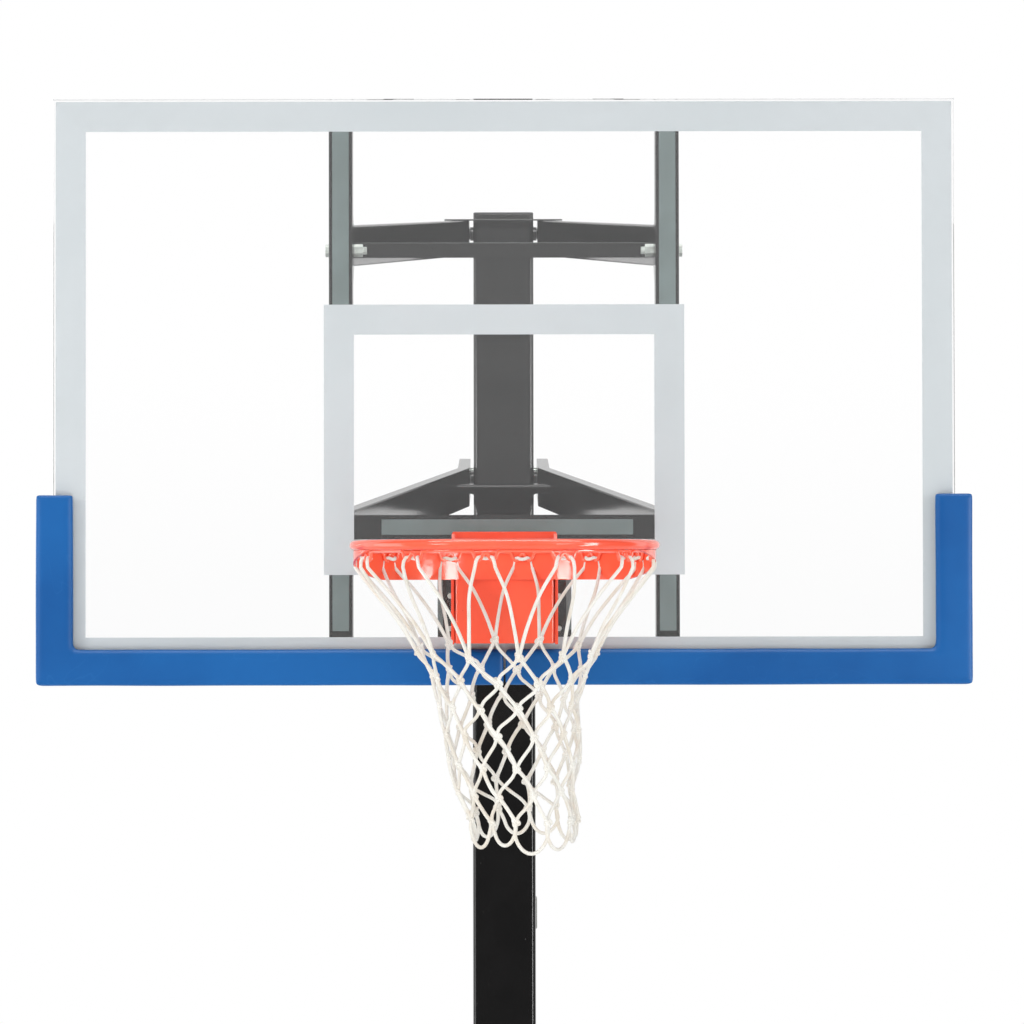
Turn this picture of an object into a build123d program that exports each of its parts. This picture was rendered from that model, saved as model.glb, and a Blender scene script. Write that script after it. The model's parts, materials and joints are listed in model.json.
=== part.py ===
from build123d import *
import os
from math import asin, atan, cos, degrees, radians, sin, sqrt, tan

# Portable basketball hoop. Millimetres, +Z up, -Y towards the court.
# Origin: on the floor, under the axis of the pole.

# Fits and clearances
seat_gap = 0.3
running_gap = 0.05
bolt_gap = 0.4
bolt_hole_radius = 6.6

# Backboard glass
glass_width = 1524.0
glass_height = 965.0
glass_thickness = 9.5
glass_edge_bevel = 1.2
glass_front_y = -1213.0
glass_top_z = 3284.0
glass_back_y = glass_front_y + glass_thickness
glass_bottom_z = glass_top_z - glass_height
glass_middle_z = glass_top_z - glass_height / 2

# Print on the back of the glass
print_thickness = 0.3
border_margin = 4.0
line_width = 50.8
target_width = 609.6
target_height = 457.2
target_drop = 348.0
target_middle_z = glass_top_z - target_drop - target_height / 2

# Steel frame behind the glass
tape_thickness = 2.0
tape_width = 28.0
frame_wall = 3.0
channel_width = 40.0
channel_depth = 42.0
channel_spacing = 553.0
channel_inset = 22.0
channel_bottom_inset = 43.0
ear_reach = 22.0
ear_half_height = 20.0
ear_root = 60.0
ear_corner_radius = 8.0
frame_front_y = glass_back_y + print_thickness + tape_thickness
channel_x = channel_spacing / 2
cross_height = 41.0
cross_depth = 32.0
cross_middle_z = 2559.5

# Lift arms
pivot_spacing = 500.0
upper_pivot_z = 3174.0
lower_pivot_z = upper_pivot_z - pivot_spacing
board_pivot_offset = 60.5
board_pivot_y = glass_back_y + board_pivot_offset
arm_drop = 141.0
arm_wall = 4.0
arm_flange = 23.0
arm_pole_gap = 5.5
arm_bend_y = 95.0
arm_bend_radius = 110.0
arm_end_bend = 53.0
arm_nose_rise = 17.0
arm_nose_slant = 25.0
arm_corner = 12.0
arm_nose = 28.0
upper_arm_height = 70.0
lower_arm_height = 77.0
arm_pivot_edge = 28.0
upper_arm_tail = 34.0
lower_arm_tail = 180.0
arm_length = sqrt(board_pivot_y**2 + arm_drop**2)
arm_slope = degrees(atan(arm_drop / -board_pivot_y))
pivot_bolt_radius = 6.35
bush_radius = 11.0
bush_length = 12.0
bush_wall_gap = 0.06
open_pivot_gap = 0.25

# Pole
pole_size = 127.0
pole_wall = 2.5
pole_corner = 11.0
pole_foot_z = 165.0
pole_joint_z = 1400.0
pole_top_joint_z = 2400.0
pole_overlap = 250.0
pole_slip = 0.15
pole_cap_z = 3212.0
cap_thickness = 4.0
splice_half = 150.0
upper_pole_size = pole_size - 2 * pole_wall - 2 * pole_slip
arm_web_x = pole_size / 2 + arm_pole_gap

# Base
tank_width = 1016.0
tank_length = 1270.0
tank_height = 190.0
tank_front_y = -200.0
tank_corner = 120.0
tank_draft = 6.0
tank_edge = 8.0
groove_start = 380.0
groove_pitch = 110.0
groove_count = 5
groove_length = 560.0
groove_width = 22.0
groove_depth = 7.0
deck_length = 330.0
deck_height = 150.0
wheel_radius = 80.0
wheel_width = 48.0
wheel_floor_gap = 6.0
wheel_axis_y = -150.0
wheel_x = 380.0
wheel_well_gap = 8.0
well_front = 50.0
axle_radius = 8.0

# Foot bracket of the pole
bracket_wall = 5.0
bracket_base_width = 230.0
bracket_base_length = 200.0
bracket_height = 180.0
bracket_corner = 12.0
bracket_edge = 10.0
foot_bolt_inset = 18.0
foot_nut_width = 19.0
foot_nut_height = 9.0

# Struts
strut_radius = 14.0
strut_top_z = 1150.0
strut_foot_x = 400.0
strut_foot_inset = 170.0
strut_foot_y = tank_front_y + tank_length - strut_foot_inset
strut_tab = 42.0
strut_tab_width = 36.0
strut_tab_thickness = 5.0
strut_squeeze = 60.0

# Lifting jack behind the pole
jack_y = 146.0
jack_pin_radius = 8.0
jack_pin_lift = 0.4
jack_tube = 40.0
jack_tube_wall = 3.5
jack_tube_corner = 5.0
ram_gap = 0.5
ram_wall = 2.5
ram_head = 26.0
ram_neck = 30.0
ram_nut_length = 60.0
ram_corner = 4.0
ram_chamfer = 3.0
gearbox_bottom_z = 1735.0
gearbox_top_z = 1800.0
jack_tube_top_z = 2560.0
ram_bottom_z = 2160.0
screw_radius = 8.0
crank_radius = 140.0
crank_axis_z = 1768.0

# Rim
ring_inner_radius = 228.6
rod_radius = 8.0
ring_offset = 152.4
ring_z = 2526.0
ring_y = glass_front_y - ring_offset - ring_inner_radius
ring_radius = ring_inner_radius + rod_radius
brace_wall = 4.0
brace_depth = 55.0
brace_rear_angle = 57.0
brace_front_angle = 29.0
brace_side_depth = 31.0
wire_radius = 3.0
hook_count = 12
hook_turn = -7.3
plate_width = 177.0
plate_height = 187.5
plate_thickness = 5.0
plate_top_rise = 25.5
cheek_depth = 107.0
cheek_drop = 40.0
cheek_inset = 4.0
panel_width = 161.0
panel_gap_y = 0.2
top_plate_width = 160.0
hinge_offset = 16.0
hinge_pin_radius = 5.0
hinge_pin_end = 5.0
hinge_knuckle_radius = 9.0
spring_x = 42.0
spring_reach = 43.0
spring_bolt_radius = 6.0
spring_outer_radius = 15.0
spring_wire_height = 4.0
spring_wire_width = 5.5
spring_turns = 5
shelf_margin = 7.0
shelf_z = 2420.0
breakaway_angle = 20.0

# Net
net_wall = 4.0
net_length = 452.0
net_neck_drop = 220.0
net_neck_shift = 7.0
net_neck_radius = 114.0
net_foot_shift = 31.0
net_foot_radius = 85.0

# Pads
pad_over_face = 37.0
pad_side = 28.0
pad_under = 26.5
pad_front = 14.0
pad_top_z = 2615.0
pad_seam = 0.6
pad_corner = 6.0
pad_bevel = 8.0
pad_edge = 3.0


def write(piece, name):
    piece.part.label = name
    export_step(piece.part, f"parts/{name}.step")


# Bolt along +Z with its head under the origin and its nut beyond the grip.
def through_bolt(radius, grip, across_flats, head_height, nut_height, stud):
    with BuildPart() as bolt:
        with BuildSketch(Plane.XY.offset(-head_height)):
            RegularPolygon(across_flats / 2, 6, major_radius=False)
        extrude(amount=head_height)
        with BuildSketch():
            Circle(radius)
        extrude(amount=grip + nut_height + stud)
        with BuildSketch(Plane.XY.offset(grip)):
            RegularPolygon(across_flats / 2, 6, major_radius=False)
        extrude(amount=nut_height)
    return bolt.part


def along_x(x, y, z):
    return Plane(origin=(x, y, z), x_dir=(0, 0, 1), z_dir=(1, 0, 0)).location


def along_minus_x(x, y, z):
    return Plane(origin=(x, y, z), x_dir=(0, 0, 1), z_dir=(-1, 0, 0)).location


def along_y(x, y, z):
    return Plane(origin=(x, y, z), x_dir=(1, 0, 0), z_dir=(0, 1, 0)).location


# Square tube from z0 to z1, with bolt holes through it along X and along Y.
def square_tube(size, wall, corner, z0, z1, center_y=0, holes_x=(), holes_y=()):
    with BuildPart() as tube:
        with BuildSketch(Plane(origin=(0, center_y, z0))):
            RectangleRounded(size, size, corner)
            RectangleRounded(size - 2 * wall, size - 2 * wall, corner - wall, mode=Mode.SUBTRACT)
        extrude(amount=z1 - z0)
        for z in holes_x:
            with BuildSketch(Plane.YZ):
                with Locations((center_y, z)):
                    Circle(bolt_hole_radius)
            extrude(amount=size, both=True, mode=Mode.SUBTRACT)
        for z in holes_y:
            with BuildSketch(Plane.XZ.offset(-center_y)):
                with Locations((0, z)):
                    Circle(bolt_hole_radius)
            extrude(amount=size, both=True, mode=Mode.SUBTRACT)
    return tube


# ---- Backboard ----

rim_bolt_x = 63.5
rim_bolt_half_z = 50.8
rim_plate_middle_z = ring_z + plate_top_rise - plate_height / 2
rim_bolt_radius = 5.0
glass_hole_radius = 8.0

with BuildPart() as glass_panel:
    with BuildSketch(Plane(origin=(0, glass_front_y, glass_middle_z), x_dir=(1, 0, 0), z_dir=(0, 1, 0))):
        Rectangle(glass_width, glass_height)
    extrude(amount=glass_thickness)
    rims = glass_panel.faces().filter_by(Axis.Y).edges()
    chamfer(rims, glass_edge_bevel)
    with BuildSketch(Plane(origin=(0, glass_front_y, rim_plate_middle_z), x_dir=(1, 0, 0), z_dir=(0, 1, 0))):
        with GridLocations(2 * rim_bolt_x, 2 * rim_bolt_half_z, 2, 2):
            Circle(glass_hole_radius)
    extrude(amount=glass_thickness, mode=Mode.SUBTRACT)
write(glass_panel, "glass_panel")

with BuildPart() as glass_print:
    back = Plane(origin=(0, glass_back_y, 0), x_dir=(1, 0, 0), z_dir=(0, -1, 0))
    with BuildSketch(back):
        with Locations((0, glass_middle_z)):
            outer_width = glass_width - 2 * border_margin
            outer_height = glass_height - 2 * border_margin
            Rectangle(outer_width, outer_height)
            Rectangle(outer_width - 2 * line_width, outer_height - 2 * line_width, mode=Mode.SUBTRACT)
        with Locations((0, target_middle_z)):
            Rectangle(target_width, target_height)
            Rectangle(target_width - 2 * line_width, target_height - 2 * line_width, mode=Mode.SUBTRACT)
        with Locations((0, rim_plate_middle_z)):
            with GridLocations(2 * rim_bolt_x, 2 * rim_bolt_half_z, 2, 2):
                Circle(glass_hole_radius, mode=Mode.SUBTRACT)
    extrude(amount=-print_thickness)
write(glass_print, "glass_print")

# ---- Steel frame behind the glass ----

channel_top_z = glass_top_z - channel_inset
channel_bottom_z = glass_bottom_z + channel_bottom_inset
channel_rear_y = frame_front_y + channel_depth
ear_rear_y = board_pivot_y + ear_reach
board_upper_z = upper_pivot_z - arm_drop
board_lower_z = lower_pivot_z - arm_drop

for side, name in ((-1, "channel_left"), (1, "channel_right")):
    with BuildPart() as channel:
        with BuildSketch(Plane.YZ.offset(side * channel_x - channel_width / 2)):
            with BuildLine():
                Polyline(
                    (frame_front_y, channel_bottom_z),
                    (channel_rear_y, channel_bottom_z),
                    (channel_rear_y, board_lower_z - ear_root),
                    (ear_rear_y, board_lower_z - ear_half_height),
                    (ear_rear_y, board_lower_z + ear_half_height),
                    (channel_rear_y, board_lower_z + ear_root),
                    (channel_rear_y, board_upper_z - ear_root),
                    (ear_rear_y, board_upper_z - ear_half_height),
                    (ear_rear_y, board_upper_z + ear_half_height),
                    (channel_rear_y, board_upper_z + ear_root),
                    (channel_rear_y, channel_top_z),
                    (frame_front_y, channel_top_z),
                    close=True,
                )
            make_face()
        extrude(amount=channel_width)
        ear_tips = channel.edges().filter_by(Axis.X).group_by(Axis.Y)[-1]
        fillet(ear_tips, ear_corner_radius)
        front_edges = channel.edges().filter_by(Axis.Z).group_by(Axis.Y)[0]
        fillet(front_edges, frame_wall)
        with BuildSketch(Plane.XY.offset(channel_bottom_z)):
            with Locations((side * channel_x, frame_front_y + frame_wall)):
                Rectangle(
                    channel_width - 2 * frame_wall,
                    ear_reach + board_pivot_offset,
                    align=(Align.CENTER, Align.MIN),
                )
        extrude(amount=channel_top_z - channel_bottom_z, mode=Mode.SUBTRACT)
        with BuildSketch(Plane.YZ):
            with Locations((board_pivot_y, board_upper_z), (board_pivot_y, board_lower_z)):
                Circle(pivot_bolt_radius + bush_wall_gap)
        extrude(amount=side * glass_width / 2, mode=Mode.SUBTRACT)
    write(channel, name)

cross_half = channel_x - channel_width / 2
with BuildPart() as cross_channel:
    with BuildSketch(Plane.YZ.offset(-cross_half)):
        with Locations((frame_front_y, cross_middle_z)):
            Rectangle(cross_depth, cross_height, align=(Align.MIN, Align.CENTER))
        with Locations((frame_front_y + frame_wall, cross_middle_z)):
            Rectangle(
                cross_depth,
                cross_height - 2 * frame_wall,
                align=(Align.MIN, Align.CENTER),
                mode=Mode.SUBTRACT,
            )
    extrude(amount=2 * cross_half)
write(cross_channel, "cross_channel")

# Backing bracket behind the rim: a folded plate from the cross channel down,
# with flat rivets at its edges, beside the bolts of the rim.
rivet_x = 92.0
rivet_low = 26.0
rivet_pitch = 55.0
rivet_z = (channel_bottom_z + rivet_low, channel_bottom_z + rivet_low + rivet_pitch)
rivet_radius = 3.0
rivet_head_radius = 4.5
rivet_head = 1.6
backing_width = 226.0
backing_flange = 30.0
backing_top_z = cross_middle_z - cross_height / 2
with BuildPart() as rim_backing_bracket:
    with BuildSketch(Plane.XY.offset(channel_bottom_z)):
        with Locations((0, frame_front_y)):
            Rectangle(backing_width, backing_flange, align=(Align.CENTER, Align.MIN))
        with Locations((0, frame_front_y + frame_wall)):
            Rectangle(
                backing_width - 2 * frame_wall,
                backing_flange,
                align=(Align.CENTER, Align.MIN),
                mode=Mode.SUBTRACT,
            )
    extrude(amount=backing_top_z - channel_bottom_z)
    fillet(rim_backing_bracket.edges().filter_by(Axis.Z).group_by(Axis.Y)[0], frame_wall)
    bolt_plane = Plane(origin=(0, frame_front_y, rim_plate_middle_z), x_dir=(1, 0, 0), z_dir=(0, 1, 0))
    with BuildSketch(bolt_plane):
        with GridLocations(2 * rim_bolt_x, 2 * rim_bolt_half_z, 2, 2):
            Circle(rim_bolt_radius + bolt_gap)
        with Locations(*[(x, rim_plate_middle_z - z) for x in (-rivet_x, rivet_x) for z in rivet_z]):
            Circle(rivet_radius + running_gap)
    extrude(amount=frame_wall, mode=Mode.SUBTRACT)
write(rim_backing_bracket, "rim_backing_bracket")

with BuildPart() as rivet:
    with BuildSketch(Plane.XY.offset(-rivet_head - running_gap)):
        Circle(rivet_head_radius)
    extrude(amount=rivet_head)
    with BuildSketch(Plane.XY.offset(-rivet_head)):
        Circle(rivet_radius)
    extrude(amount=rivet_head + frame_wall + rivet_head)
    with BuildSketch(Plane.XY.offset(frame_wall + running_gap)):
        Circle(rivet_head_radius)
    extrude(amount=2 * rivet_head)
with BuildPart() as backing_rivets:
    for x in (-rivet_x, rivet_x):
        for z in rivet_z:
            add(rivet.part.moved(along_y(x, frame_front_y, z)))
write(backing_rivets, "backing_rivets")

# Adhesive tapes between the glass and the steel.
tape_y = glass_back_y + print_thickness
cross_tape_length = 425.0
cross_tape_x = 5.0
bracket_tape_width = 9.0
with BuildPart() as mounting_tapes:
    tape_plane = Plane(origin=(0, tape_y, 0), x_dir=(1, 0, 0), z_dir=(0, -1, 0))
    with BuildSketch(tape_plane):
        with Locations((-channel_x, (channel_top_z + channel_bottom_z) / 2)):
            Rectangle(tape_width, channel_top_z - channel_bottom_z - 2 * channel_inset)
        with Locations((channel_x, (channel_top_z + channel_bottom_z) / 2)):
            Rectangle(tape_width, channel_top_z - channel_bottom_z - 2 * channel_inset)
        with Locations((cross_tape_x, cross_middle_z)):
            Rectangle(cross_tape_length, tape_width - 2)
        for side in (-1, 1):
            with Locations((side * (backing_width - bracket_tape_width) / 2, rim_plate_middle_z)):
                Rectangle(bracket_tape_width, plate_height - 2 * channel_inset)
    extrude(amount=-tape_thickness)
write(mounting_tapes, "mounting_tapes")

# ---- Lift arms ----

# An arm lies on a plane that tilts about X: local x runs from the pole to the board,
# local y is the width of the hoop and local z is up from the arm.
def arm_tilt(height):
    return degrees(asin((height - 2 * arm_pivot_edge) / arm_length))


def arm_planes(height, pole_pivot_z):
    slope = radians(arm_slope - arm_tilt(height))
    offset = height / 2 - arm_pivot_edge
    centre = Vector(0, offset * sin(slope), pole_pivot_z - offset * cos(slope))
    run = Vector(0, -cos(slope), -sin(slope))
    top = Plane(origin=centre, x_dir=run, z_dir=Vector(0, -sin(slope), cos(slope)))
    side = Plane(origin=centre, x_dir=run, z_dir=(-1, 0, 0))
    return top, side


arm_end_web_x = channel_x - arm_flange / 2


def lift_arm(height, pole_pivot_z, tail, slot):
    top, side = arm_planes(height, pole_pivot_z)
    span = arm_length * cos(radians(arm_tilt(height)))
    nose = span + arm_nose
    with BuildPart() as arm:
        with BuildLine(top) as path:
            FilletPolyline(
                (-tail, arm_web_x),
                (arm_bend_y, arm_web_x),
                (span - arm_end_bend, arm_end_web_x),
                (nose, arm_end_web_x),
                radius=arm_bend_radius,
            )
        start = path.wires()[0] @ 0
        with BuildSketch(Plane(origin=start, x_dir=(1, 0, 0), z_dir=top.x_dir)):
            with BuildLine():
                half = height / 2
                Polyline(
                    (0, -half),
                    (arm_flange, -half),
                    (arm_flange, -half + arm_wall),
                    (arm_wall, -half + arm_wall),
                    (arm_wall, half - arm_wall),
                    (arm_flange, half - arm_wall),
                    (arm_flange, half),
                    (0, half),
                    close=True,
                )
            make_face()
        sweep(path=path.wires()[0])
        with BuildSketch(side):
            with BuildLine():
                Polyline(
                    (-tail, -half),
                    (nose, -half),
                    (nose, arm_pivot_edge - half + arm_nose_rise),
                    (span - arm_nose_slant, half),
                    (-tail, half),
                    close=True,
                )
            outline = make_face()
            fillet(outline.vertices(), arm_corner)
        extrude(amount=2 * channel_x, both=True, mode=Mode.INTERSECT)
        pole_pivot_v = half - arm_pivot_edge
        board_pivot_v = arm_pivot_edge - half
        with BuildSketch(side):
            with Locations((0, pole_pivot_v), (span, board_pivot_v)):
                Circle(bush_radius)
            if slot:
                tilt = arm_tilt(height)
                slot_v = pole_pivot_v + slot * sin(radians(tilt))
                with Locations((-slot * cos(radians(tilt)), slot_v)):
                    SlotOverall(2 * slot_half_length, 2 * slot_half_height, rotation=-tilt)
        extrude(amount=2 * channel_x, both=True, mode=Mode.SUBTRACT)
    return arm


# The ram pin stays over the jack while the arm turns, so it runs in a slot on the line of the pivots.
arm_swing_limit = 19.32
slot_near = jack_y
slot_far = jack_y / cos(radians(arm_swing_limit))
slot_end_gap = 1.2
slot_side_gap = 1.2
slot_half_length = (slot_far - slot_near) / 2 + jack_pin_radius + slot_end_gap
slot_half_height = jack_pin_radius + slot_side_gap

arm_sizes = (
    ("upper_arm", upper_arm_height, upper_pivot_z, upper_arm_tail, None),
    ("lower_arm", lower_arm_height, lower_pivot_z, lower_arm_tail, (slot_near + slot_far) / 2),
)
for name, height, pivot_z, tail, slot in arm_sizes:
    arm_right = lift_arm(height, pivot_z, tail, slot)
    write(arm_right, f"{name}_right")
    with BuildPart() as arm_left:
        add(mirror(arm_right.part, about=Plane.YZ))
    write(arm_left, f"{name}_left")

# Bushes welded in the arm webs: short at the pole, long inside the channels.
pole_face_x = upper_pole_size / 2
channel_inner = channel_width / 2 - frame_wall
for name, pole_z, board_z, board_gap in (
    ("upper_arm_bushes", upper_pivot_z, board_upper_z, open_pivot_gap),
    ("lower_arm_bushes", lower_pivot_z, board_lower_z, bush_wall_gap),
):
    with BuildPart() as bushes:
        for side in (-1, 1):
            with BuildSketch(Plane.YZ.offset(side * (arm_web_x - 1))):
                with Locations((0, pole_z)):
                    Circle(bush_radius)
                    Circle(pivot_bolt_radius + bush_wall_gap, mode=Mode.SUBTRACT)
            extrude(amount=side * (arm_wall + bush_length))
            with BuildSketch(Plane.YZ.offset(side * (channel_x - channel_inner + seat_gap))):
                with Locations((board_pivot_y, board_z)):
                    Circle(bush_radius)
                    Circle(pivot_bolt_radius + board_gap, mode=Mode.SUBTRACT)
            extrude(amount=side * 2 * (channel_inner - seat_gap))
    write(bushes, name)

# Upper arms: a flat bar across the board end and a plate across the pole end.
tie_bar_back = 38.0
tie_bar_height = 26.0
tie_bar_thickness = 5.0
tie_plate_start = 84.0
tie_plate_length = 50.0
tie_plate_thickness = 3.0
tie_plate_reach = 118.0
tie_plate_corner = 6.0

upper_top, upper_side = arm_planes(upper_arm_height, upper_pivot_z)
with BuildPart() as upper_tie_bar:
    with BuildSketch(upper_side):
        with Locations((arm_length - tie_bar_back, arm_pivot_edge - upper_arm_height / 2)):
            Rectangle(tie_bar_thickness, tie_bar_height)
    extrude(amount=arm_end_web_x, both=True)
write(upper_tie_bar, "upper_tie_bar")

with BuildPart() as upper_tie_plate:
    with BuildSketch(upper_top.offset(upper_arm_height / 2)):
        with Locations((tie_plate_start + tie_plate_length / 2, 0)):
            RectangleRounded(tie_plate_length, 2 * tie_plate_reach, tie_plate_corner)
    extrude(amount=tie_plate_thickness)
write(upper_tie_plate, "upper_tie_plate")

# Lower arms: a folded plate welded between the webs, with a notch on each side of a tongue.
cross_plate_start = 221.0
cross_plate_wall = 4.0
cross_plate_rise = 5.0
cross_plate_band = 18.5
cross_plate_lip = 22.0
cross_plate_fold = 7.0
tongue_half = 54.0
tongue_length = 36.0
notch_radius = 12.0
weld_gap = 0.1
arm_run = arm_length * cos(radians(arm_tilt(lower_arm_height))) - arm_end_bend - arm_bend_y
arm_splay = (arm_end_web_x - arm_web_x) / arm_run
plate_back = cross_plate_start - cross_plate_lip
plate_back_half = arm_web_x + (plate_back - arm_bend_y) * arm_splay - weld_gap
plate_front_half = arm_web_x + (cross_plate_start - arm_bend_y) * arm_splay - weld_gap
band_top = lower_arm_height / 2 - arm_pivot_edge + cross_plate_rise
band_bottom = band_top - cross_plate_band
tongue_bottom = band_bottom - tongue_length

lower_top, lower_side = arm_planes(lower_arm_height, lower_pivot_z)
with BuildPart() as lower_cross_plate:
    with BuildSketch(lower_top.offset(tongue_bottom)):
        with BuildLine():
            Polyline(
                (plate_back, -plate_back_half),
                (cross_plate_start, -plate_front_half),
                (cross_plate_start, plate_front_half),
                (plate_back, plate_back_half),
                close=True,
            )
        make_face()
    extrude(amount=band_top - tongue_bottom)
    fold = lower_cross_plate.edges().filter_by(Axis.X).sort_by(Axis.Z)[-2:].sort_by(Axis.Y)[:1]
    fillet(fold, cross_plate_fold)
    with BuildSketch(lower_side):
        with Locations((plate_back, tongue_bottom)):
            Rectangle(
                cross_plate_lip - cross_plate_wall,
                band_top - tongue_bottom - cross_plate_wall,
                align=Align.MIN,
            )
    extrude(amount=plate_front_half, both=True, mode=Mode.SUBTRACT)
    front_face = Plane(
        origin=lower_top.origin + lower_top.x_dir * cross_plate_start, x_dir=(1, 0, 0), z_dir=lower_top.x_dir
    )
    for side in (-1, 1):
        with BuildSketch(front_face):
            with BuildLine():
                FilletPolyline(
                    (side * tongue_half, tongue_bottom),
                    (side * tongue_half, band_bottom),
                    (side * plate_front_half, band_bottom),
                    radius=notch_radius,
                )
                Polyline(
                    (side * plate_front_half, band_bottom),
                    (side * plate_front_half, tongue_bottom),
                    (side * tongue_half, tongue_bottom),
                )
            make_face()
        extrude(amount=-cross_plate_wall, mode=Mode.SUBTRACT)
write(lower_cross_plate, "lower_cross_plate")

# Pivot bolts on the board, heads outside the channels and nuts inside.
bolt_grip = channel_width + 2 * seat_gap
board_bolt = through_bolt(pivot_bolt_radius, bolt_grip, 19.0, 8.0, 15.0, 7.0)
with BuildPart() as board_pivot_bolts:
    for z in (board_upper_z, board_lower_z):
        outer = channel_x + channel_width / 2 + seat_gap
        add(board_bolt.moved(along_x(-outer, board_pivot_y, z)))
        add(board_bolt.moved(along_minus_x(outer, board_pivot_y, z)))
write(board_pivot_bolts, "board_pivot_bolts")

# Pivot bolts through the pole, with spacers between the pole and the arms.
spacer_radius = 14.0
arm_outer = arm_web_x + arm_wall + bush_length - 1
pole_bolt_head = arm_outer + seat_gap
pole_bolt = through_bolt(pivot_bolt_radius, 2 * pole_bolt_head, 19.0, 8.0, 12.0, 5.0)
for z, name in ((upper_pivot_z, "upper_pole_bolt"), (lower_pivot_z, "lower_pole_bolt")):
    with BuildPart() as pivot_bolt:
        add(pole_bolt.moved(along_x(-pole_bolt_head, 0, z)))
    write(pivot_bolt, name)

with BuildPart() as pole_spacers:
    for side in (-1, 1):
        with BuildSketch(Plane.YZ.offset(side * pole_face_x)):
            with Locations((0, upper_pivot_z), (0, lower_pivot_z)):
                Circle(spacer_radius)
                Circle(pivot_bolt_radius + running_gap, mode=Mode.SUBTRACT)
        extrude(amount=side * (arm_web_x - 1 - seat_gap - pole_face_x))
write(pole_spacers, "pole_spacers")

# ---- Pole ----

joint_bolt_z = (2300.0, 2365.0)
splice_bolt_z = (pole_joint_z - 90.0, pole_joint_z + 90.0)
foot_bolt_z = (pole_foot_z + 50.0, pole_foot_z + 130.0)
pole_lower = square_tube(
    pole_size, pole_wall, pole_corner, pole_foot_z, pole_joint_z,
    holes_x=(*foot_bolt_z, strut_top_z), holes_y=splice_bolt_z[:1],
)
write(pole_lower, "pole_lower")
pole_middle = square_tube(
    pole_size, pole_wall, pole_corner, pole_joint_z, pole_top_joint_z,
    holes_y=(splice_bolt_z[1], *joint_bolt_z),
)
write(pole_middle, "pole_middle")
pole_splice = square_tube(
    upper_pole_size,
    pole_wall,
    pole_corner - pole_wall,
    pole_joint_z - splice_half,
    pole_joint_z + splice_half,
    holes_y=splice_bolt_z,
)
write(pole_splice, "pole_splice")
pole_upper = square_tube(
    upper_pole_size, pole_wall, pole_corner - pole_wall, pole_top_joint_z - pole_overlap,
    pole_cap_z - cap_thickness, holes_x=(upper_pivot_z, lower_pivot_z), holes_y=joint_bolt_z,
)
write(pole_upper, "pole_upper")

cap_plug = 25.0
with BuildPart() as pole_cap:
    with BuildSketch(Plane.XY.offset(pole_cap_z - cap_thickness)):
        RectangleRounded(upper_pole_size, upper_pole_size, pole_corner - pole_wall)
    extrude(amount=cap_thickness)
    fillet(pole_cap.faces().sort_by(Axis.Z)[-1].edges(), cap_thickness / 2)
    with BuildSketch(Plane.XY.offset(pole_cap_z - cap_thickness - cap_plug)):
        plug = upper_pole_size - 2 * pole_wall - 2 * seat_gap
        RectangleRounded(plug, plug, pole_corner - 2 * pole_wall)
    extrude(amount=cap_plug)
write(pole_cap, "pole_cap")

joint_bolt = through_bolt(6.0, pole_size + 2 * seat_gap, 19.0, 8.0, 10.0, 5.0)
with BuildPart() as pole_joint_bolts:
    for z in (*splice_bolt_z, *joint_bolt_z):
        add(joint_bolt.moved(along_y(0, -pole_size / 2 - seat_gap, z)))
write(pole_joint_bolts, "pole_joint_bolts")

# ---- Base ----

with BuildPart() as base_tank:
    with BuildSketch():
        with Locations((0, tank_front_y + tank_length / 2)):
            RectangleRounded(tank_width, tank_length, tank_corner)
    extrude(amount=tank_height, taper=tank_draft)
    chamfer(base_tank.faces().sort_by(Axis.Z)[-1].edges(), tank_edge)
    with BuildSketch(Plane.XY.offset(tank_height)):
        with Locations((0, tank_front_y + deck_length + groove_start)):
            with GridLocations(0, groove_pitch, 1, groove_count):
                SlotOverall(groove_length, groove_width)
    extrude(amount=-groove_depth, mode=Mode.SUBTRACT)
    # lower deck at the front, where the pole stands
    with BuildSketch(Plane.XY.offset(deck_height)):
        with Locations((0, tank_front_y)):
            Rectangle(tank_width, deck_length, align=(Align.CENTER, Align.MIN))
    extrude(amount=tank_height, mode=Mode.SUBTRACT)
    # wheel wells through the front edge
    for side in (-1, 1):
        with BuildSketch(Plane.YZ.offset(side * wheel_x - (wheel_width / 2 + wheel_well_gap))):
            with Locations((wheel_axis_y, wheel_radius + wheel_floor_gap)):
                Circle(wheel_radius + wheel_well_gap)
            with Locations((wheel_axis_y, 0)):
                Rectangle(
                    2 * (wheel_radius + wheel_well_gap),
                    wheel_radius + wheel_floor_gap,
                    align=(Align.CENTER, Align.MIN),
                )
            with Locations((tank_front_y, 0)):
                Rectangle(2 * well_front, tank_height, align=(Align.CENTER, Align.MIN))
        extrude(amount=wheel_width + 2 * wheel_well_gap, mode=Mode.SUBTRACT)
    # axle bore through the front
    with BuildSketch(Plane.YZ.offset(-tank_width / 2)):
        with Locations((wheel_axis_y, wheel_radius + wheel_floor_gap)):
            Circle(axle_radius + seat_gap)
    extrude(amount=tank_width, mode=Mode.SUBTRACT)
write(base_tank, "base_tank")

fill_cap_back = 160.0
fill_cap_y = tank_front_y + tank_length - fill_cap_back
fill_cap_radius = 42.0
fill_cap_sides = 12
fill_cap_height = 16.0
with BuildPart() as fill_cap:
    with BuildSketch(Plane.XY.offset(tank_height)):
        with Locations((tank_width / 4, fill_cap_y)):
            RegularPolygon(fill_cap_radius, fill_cap_sides)
    extrude(amount=fill_cap_height)
    fillet(fill_cap.faces().sort_by(Axis.Z)[-1].edges(), 3)
write(fill_cap, "fill_cap")

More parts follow.
